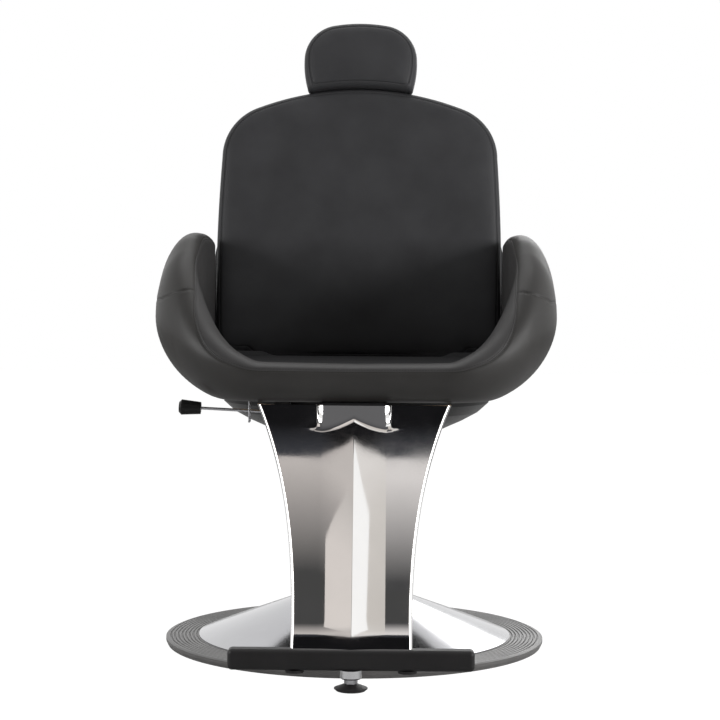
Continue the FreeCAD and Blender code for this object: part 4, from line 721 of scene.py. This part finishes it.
def panel_face(x, height):
    """How far forward the casting's face stands, with the block blended in by a small fillet."""
    flank = flank_front(height)
    base = flank + keel(x) * min(1, (PANEL_TOP - height) / 4 + 0.9)
    side, beside = 8.5 + max(0, BLOCK_FOOT - height) * 0.2, max(0, abs(x) - BLOCK_HALF)
    block = BLOCK_FRONT - beside / side * max(BLOCK_FRONT - flank, 0.6) - max(0, beside - side) * 0.8
    gap, reach = base - block, 2.2
    if abs(gap) >= reach:
        return max(base, block)
    return max(base, block) + (reach - abs(gap)) ** 2 / (4 * reach)


# The face's columns to one side, then the rim as (inward, back) from the flank's outer front edge
FACE_COLUMNS = [0, 0.5, 1.2, 2.5, 4, 6, 8, 10, 12.5, 15, 18, 21, 25, 29, 33, 37, 41, 44, 46, 47, 47.5, 48, 49,
                50.5, 52, 53, 54, 55, 56, 57, 58.5, 60]
RIM = [(4.7, 0), (3.6, 0.5), (0.7, 3.4), (0.15, 4.8), (0, 7), (0, 23), (0.5, 23.8), (1.2, 24), (5, 24),
       (5.8, 23.6), (6, 22.8), (6, 13), (7.5, 8.5), (12, 6)]


def panel_ring(height):
    """One level section of the casting, open to the rear between its two ribs."""
    wide = PANEL_HALF_FOOT + ((PANEL_HALF_TOP - PANEL_HALF_FOOT)
                              * ((height - PANEL_FOOT) / (PANEL_TOP - PANEL_FOOT)) ** 2.6)
    last = FACE_COLUMNS[-1]
    across = FACE_COLUMNS + [last + (wide - 5.6 - last) * i / 7 for i in range(1, 8)]
    right = [(x, -panel_face(x, height)) for x in across]
    front = -flank_front(height)
    right += [(wide - inward, front + back) for inward, back in RIM]
    inner, rear = RIM[-1]
    right += [((wide - inner) * i / 6, front + rear) for i in (5, 4, 3, 2, 1, 0)]
    points = right + [(-x, y) for x, y in reversed(right[1:-1])]
    return [(x, y, height) for x, y in points]


def panel_skin():
    """The whole casting: level rings, close together by the block and at the rounded ends."""
    heights = [PANEL_FOOT, 63, 65] + [68 + 2 * i for i in range(13)] + [96 + 5 * i for i in range(51)]
    heights += [346 + 1.2 * i for i in range(1, 49)] + [405, 405.7, PANEL_TOP]
    rings = [panel_ring(height) for height in heights]
    count = len(rings[0])
    points = [point for ring in rings for point in ring]
    faces = [tuple(range(count)), tuple(range(len(points) - count, len(points)))]
    for row in range(len(rings) - 1):
        for i in range(count):
            a, b = row * count + i, row * count + (i + 1) % count
            faces.append((a, b, b + count, a + count))
    item = mesh("footrest_casting", points, faces)
    for face in item.data.polygons:
        if len(face.vertices) > 4:
            face.use_smooth = False
    item.data.set_sharp_from_angle(angle=math.radians(38))
    return item


def block(name, low, high, bevel):
    """A box with rounded edges between two corners."""
    built = bmesh.new()
    bmesh.ops.create_cube(built, size=1)
    middle = (Vector(low) + Vector(high)) / 2
    size = Vector(high) - Vector(low)
    for vertex in built.verts:
        vertex.co = Vector([mid + at * reach for mid, at, reach in zip(middle, vertex.co, size)])
    bmesh.ops.bevel(built, geom=built.edges, offset=bevel, segments=3, profile=0.5, affect="EDGES")
    faces = [[vertex.index for vertex in face.verts] for face in built.faces]
    item = mesh(name, [tuple(vertex.co) for vertex in built.verts], faces)
    built.free()
    return item


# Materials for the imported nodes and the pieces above

def finishes():
    """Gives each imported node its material, and returns those of the pieces above."""
    black = leather("leather_black", (0.046, 0.046, 0.0485), 0.5, 0.2)
    bucket_hide = leather("leather_bucket", (0.032, 0.0305, 0.029), 0.47)
    # Painted shade: the seat pad's leather is a darker, duller copy of the backrest's black leather. It
    # stands in for the shadow that the arms and backrest cast on the seat.
    seat_hide_painted_shade = leather("leather_seat_painted_shade", (0.020, 0.020, 0.021), 0.52, 0.12)
    # Painted light: the bucket's inner wall and ledge take a lighter, greyer copy of the bucket leather. It
    # stands in for the key lamp's light falling on the inner wall.
    inner_hide_painted_light = leather("leather_inner_painted_light", (0.046, 0.0445, 0.0445), 0.47)
    thread = rubber("thread_black", (0.022, 0.021, 0.020), 0.75, 0.1)
    steel = metal("steel_zinc", (0.55, 0.55, 0.57), 0.32)
    bright = metal("steel_polished", (0.72, 0.72, 0.73), 0.14, (1, 1, 0.1))
    chrome = metal("chrome", (0.78, 0.78, 0.8), 0.07, size=4, depth=0.004)
    cover = metal("cover_polished", (0.5, 0.5, 0.515), 0.12, size=3, depth=0.006)
    cast = metal("aluminium_polished", (0.84, 0.83, 0.82), 0.04, (1, 1, 0.03), 1.4, 0.004)
    paint = painted("paint_black", (0.012, 0.012, 0.013))
    plastic = painted("plastic_black", (0.008, 0.008, 0.008), 0.35, 0.25)
    rubber_grey = rubber("rubber_ring", (0.125, 0.121, 0.118), 0.38, 0.8)
    rubber_black = rubber("rubber_bar", (0.012, 0.011, 0.0115), 0.5)
    ply = plywood("plywood")
    table = {
        rubber_grey: ["rubber_ring"],
        rubber_black: ["footrest_bar", "footrest_glides", "levelling_pad", "pedal_pad"],
        cover: ["base_cover"],
        bright: ["ram", "gas_rod", "headrest_posts", "foot_boss"],
        chrome: ["cover_collar"],
        paint: ["base_plate", "pump_cylinder", "pump_gland", "pedal_bracket", "pedal_arm", "ram_head",
                "shroud_tube", "swivel_hub", "chassis_plate", "chassis_rails", "footrest_bracket",
                "hinge_brackets", "gas_cylinder", "gas_mount", "back_frame", "headrest_guide",
                "headrest_yoke", "headrest_plate", "lever_bracket", "footrest_bar_core"],
        plastic: ["underside_pan", "lever_knob", "gas_gland"],
        steel: ["pump_bolts", "pedal_pin", "thrust_bearing", "chassis_bolts", "footrest_bolts",
                "levelling_nut", "levelling_stud", "hinge_pins", "gas_pin", "gas_eye", "tilt_pin",
                "lever_pin", "lever_rod", "lever_guide"],
        ply: ["seat_board", "back_board"],
    }
    for material, names in table.items():
        for name in names:
            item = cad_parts[name]
            item.data.materials.clear()
            item.data.materials.append(material)
    return black, seat_hide_painted_shade, bucket_hide, inner_hide_painted_light, cast, thread


def white_room():
    """A world that cameras and reflections see as white, and that lights the rest only a little."""
    world = bpy.data.worlds.new("studio")
    world.use_nodes = True
    tree = world.node_tree
    back = tree.nodes["Background"]
    path = tree.nodes.new("ShaderNodeLightPath")
    seen = tree.nodes.new("ShaderNodeMath")
    seen.operation = "MAXIMUM"
    tree.links.new(path.outputs["Is Camera Ray"], seen.inputs[0])
    tree.links.new(path.outputs["Is Glossy Ray"], seen.inputs[1])
    more = tree.nodes.new("ShaderNodeMath")
    more.operation = "MAXIMUM"
    tree.links.new(seen.outputs[0], more.inputs[0])
    tree.links.new(path.outputs["Is Transmission Ray"], more.inputs[1])
    level = tree.nodes.new("ShaderNodeMapRange")
    tree.links.new(more.outputs[0], level.inputs["Value"])
    level.inputs["To Min"].default_value = 0.08
    level.inputs["To Max"].default_value = 1.0
    tree.links.new(level.outputs["Result"], back.inputs["Strength"])
    back.inputs["Color"].default_value = (1, 1, 1, 1)
    bpy.context.scene.world = world


def white_floor():
    """A floor that cameras see as white, apart from a part of the shadow on it."""
    far = 9000
    floor = mesh("floor", [(-far, -far, 0), (far, -far, 0), (far, far, 0), (-far, far, 0)], [(0, 1, 2, 3)])
    n = Nodes("floor_white")
    n.shader.inputs["Base Color"].default_value = (0.8, 0.8, 0.8, 1)
    n.shader.inputs["Roughness"].default_value = 0.9
    glow = n.tree.nodes.new("ShaderNodeEmission")
    glow.inputs["Strength"].default_value = 1.165
    light = n.tree.nodes.new("ShaderNodeLightPath")
    share = n.tree.nodes.new("ShaderNodeMath")
    share.operation = "MULTIPLY"
    n.tree.links.new(light.outputs["Is Camera Ray"], share.inputs[0])
    share.inputs[1].default_value = 0.85
    mix = n.tree.nodes.new("ShaderNodeMixShader")
    n.tree.links.new(share.outputs[0], mix.inputs[0])
    n.tree.links.new(n.shader.outputs[0], mix.inputs[1])
    n.tree.links.new(glow.outputs[0], mix.inputs[2])
    n.tree.links.new(mix.outputs[0], n.tree.nodes["Material Output"].inputs["Surface"])
    floor.data.materials.append(n.material)


def lamps_and_boards():
    """Soft lamps, and boards whose reflections draw the polished panel's dark and light bands."""
    lamp("key", (1.3, 0.9), 49, (2.3, -1.2, 1.1), (0, 0, 0.66))
    lamp("fill", (1.3, 0.9), 31, (-2.3, -1.2, 1.1), (0, 0, 0.66))
    lamp("top", (1.6, 0.8), 9, (0, 0.45, 2.3), (0, 0, 0.6))
    lamp("rear", (1.6, 1.2), 14, (0.7, 2.7, 1.5), (0, 0, 0.7))
    board("board_front", (-5.6, 5.6), (-1.0, 8.0), (0.14, 0.14, 0.14), (0.14, 0.14, 0.14), away=3.06)
    board("board_white", (0.9, 2.3), (0.6, 3.3), (1.1, 1.1, 1.1), (1.1, 1.1, 1.1), away=3.04)
    board("board_low", (-2.2, 1.0), (-0.3, 1.62), (0.16, 0.16, 0.165), (0.08, 0.08, 0.085))
    board("board_side_left", (-2.2, -0.72), (1.6, 2.55), (0.82, 0.77, 0.73), (0.78, 0.73, 0.7))
    board("board_side_left_top", (-2.2, -0.72), (2.55, 2.85), (0.78, 0.73, 0.7), (0.6, 0.57, 0.55),
          slant=-0.75)
    board("board_middle", (-0.72, 0.2), (1.6, 2.3), (0.06, 0.06, 0.066), (0.07, 0.07, 0.07))
    board("board_fade", (-2.2, 0), (2.3, 3.6), (0.07, 0.07, 0.07), (0.62, 0.58, 0.56), (2.4, 2.9), away=3.02)
    board("board_fade_middle", (0, 0.2), (2.3, 3.3), (0.07, 0.07, 0.072), (0.8, 0.77, 0.76), (2.34, 2.8))
    board("board_side_right", (0.2, 1.0), (1.6, 2.69), (0.6, 0.56, 0.52), (0.72, 0.69, 0.66))
    board("board_fade_right", (0.2, 1.0), (2.69, 3.3), (0.72, 0.69, 0.66), (0.85, 0.82, 0.8), (2.69, 2.92),
          slant=0.89)
    board("board_high", (-2.4, 2.4), (2.87, 4.6), (0.055, 0.058, 0.068), (0.008, 0.008, 0.009), (2.88, 3.03),
          bow=1.4, away=2.98)


def board(name, across, up, low, high, fade=None, slant=0.0, bow=0.0, away=3.0):
    """A tinted board in front that only reflections see, in metres. Its colour fades upward, its right edge
    can slant and its foot can rise to both sides, so that its reflection in a bent face runs level."""
    (left, right), (foot, top) = across, up
    columns, bend = 16, 2.7
    corners = []
    for share, level in ((0, foot), (1, top)):
        for i in range(columns + 1):
            x = left + (right + slant * share - left) * i / columns
            rise = bow * (math.sqrt(1 + (x / bend) ** 2) - 1) * (1 - share)
            corners.append((x, -away, level + rise))
    item = mesh(name, [tuple(Vector(corner) / MM) for corner in corners],
                [(i, i + 1, columns + i + 2, columns + i + 1) for i in range(columns)])
    n = Nodes(name)
    spot = n.add("ShaderNodeTexCoord", "Object")
    height = n.add("ShaderNodeSeparateXYZ", "Z", {"Vector": spot})
    share = n.span(height, 0, 1, *(fade or up))
    glow = n.tree.nodes.new("ShaderNodeEmission")
    n.tree.links.new(n.blend(share, low, high), glow.inputs["Color"])
    n.tree.links.new(glow.outputs[0], n.tree.nodes["Material Output"].inputs["Surface"])
    item.data.materials.append(n.material)
    item.visible_camera = item.visible_diffuse = item.visible_transmission = item.visible_shadow = False


def threads(name, pillow, seam, thread, body):
    """The two rows of stitches beside a pillow's seam."""
    dressed(stitches(name, thread_rows(pillow, seam), closed=True), thread, body)


def backrest(hide, thread):
    back = Pillow(back_edges(13), BACK_HALF, BACK_MIDDLE,
                  [(-15, 236), (-15, 200), (-15, 138.6), (-14.3, 75.6), (-13, 35.3), (-9.9, 15.1), (-5.3, 6),
                   (0.4, 1.5), (7.8, 0), (33.5, 0), (40.4, 1.4), (42, 4.5), (42, 60), (42, 236)], leaned, 300)
    seam, rear_edge = back.find(8, 4, 7), 9.6
    cover = padded_skin("backrest_cover", back, [seam, rear_edge], steps(0.05, 2, 10) + steps(2, 12.9, 62))
    dressed(cover, hide, "backrest")
    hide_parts("back_cushion")
    threads("backrest_stitches", back, seam, thread, "backrest")


def headrest(hide, thread):
    head = Pillow(head_edges(), (101.5, 64), (0, 567.4),
                  [(-24, 59), (-24, 56), (-23.8, 48), (-23.1, 36.5), (-21, 20.3), (-16.8, 9.1), (-10.8, 3),
                   (-2.4, 0.4), (6, 0), (21, 1), (30, 5.1), (36, 13.2), (36, 30), (36, 59)], leaned, 200)
    seam = head.find(9.5, 3, 7)
    rest = padded_skin("headrest_cover", head, [seam], steps(0.05, 2, 6) + steps(2, 12.9, 60))
    dressed(rest, hide, "headrest")
    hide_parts("headrest_cushion")
    threads("headrest_stitches", head, seam, thread, "headrest")


def seat_place(x, depth, y):
    """A point of the seat pad, whose depth is counted down from above."""
    return x, y, -depth + seat_swell(x, y) * min(1, max(0, -depth - 440) / 20)


def seat_cushion(hide, thread):
    seat = Pillow(seat_edges(), (252, 200), (0, -14),
                  [(-466, 196), (-466, 151), (-465.6, 75.6), (-464.6, 32.8), (-461.3, 12.6), (-455.5, 3.6),
                   (-450, 1), (-443, 1), (-433, 30), (-427.5, 62), (-427.5, 196)], seat_place, 260)
    seam = seat.find(9, 3, 5)
    pad = padded_skin("seat_cushion_cover", seat, [seam], steps(0.05, 2, 10) + steps(2, 9.9, 50))
    dressed(pad, hide, "seat")
    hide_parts("seat_cushion")
    threads("seat_stitches", seat, seam, thread, "seat")


def shell_place(x, n, t):
    """A point of the rear cover, a little wider behind the arms."""
    return leaned(x * (1 + 0.037 * smooth(REAR_SWELL, t)), n, t)


def rear_cover(hide):
    shell = Pillow(back_edges(), BACK_HALF, BACK_MIDDLE,
                   [(42.6, 7), (43.2, 3.6), (50, 2.6), (59.2, 2.5), (66.4, 6.3), (71.7, 17.6), (74.3, 37.8),
                    (76, 113), (76, 236)], shell_place, 300)
    rear = skin("backrest_rear_cover", [shell.ring(at) for at in steps(0, 7.95, 66)], (False, True))
    dressed(rear, hide, "backrest")
    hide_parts("back_shell")


def bucket(hide, inner_hide_painted_light, thread):
    lines = bucket_seams()
    cover, columns = bucket_cover(lines)
    dressed(stitches("bucket_stitches", bucket_threads(lines)), thread, "seat")
    dressed(cover, hide, "seat")
    # The faces from the floor up to the inner seam take the lighter leather, which is painted light for the
    # lamp falling on the inner wall.
    cover.data.materials.append(inner_hide_painted_light)
    for face in cover.data.polygons:
        face.material_index = int(max(corner % columns for corner in face.vertices) <= LAST_INNER_COLUMN)
    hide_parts("bucket_seat")


def footrest(cast):
    casting = dressed(panel_skin(), cast, "seat")
    tongue = dressed(block("footrest_tongue", (-85.7, -382, 36.2), (85.7, -371, 74), 1.0), cast, "seat")
    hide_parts("footrest_panel")
    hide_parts("footrest_panel")


def main():
    bpy.context.scene.view_settings.view_transform = "Standard"
    camera()
    white_room()
    white_floor()
    lamps_and_boards()
    black, seat_hide_painted_shade, bucket_hide, inner_hide_painted_light, cast, thread = finishes()
    backrest(black, thread)
    headrest(black, thread)
    # The seat pad gets the darker leather, which is painted shade for the shadow over the seat.
    seat_cushion(seat_hide_painted_shade, thread)
    rear_cover(black)
    # The bucket's inner wall gets the lighter leather, which is painted light.
    bucket(bucket_hide, inner_hide_painted_light, thread)
    footrest(cast)


main()
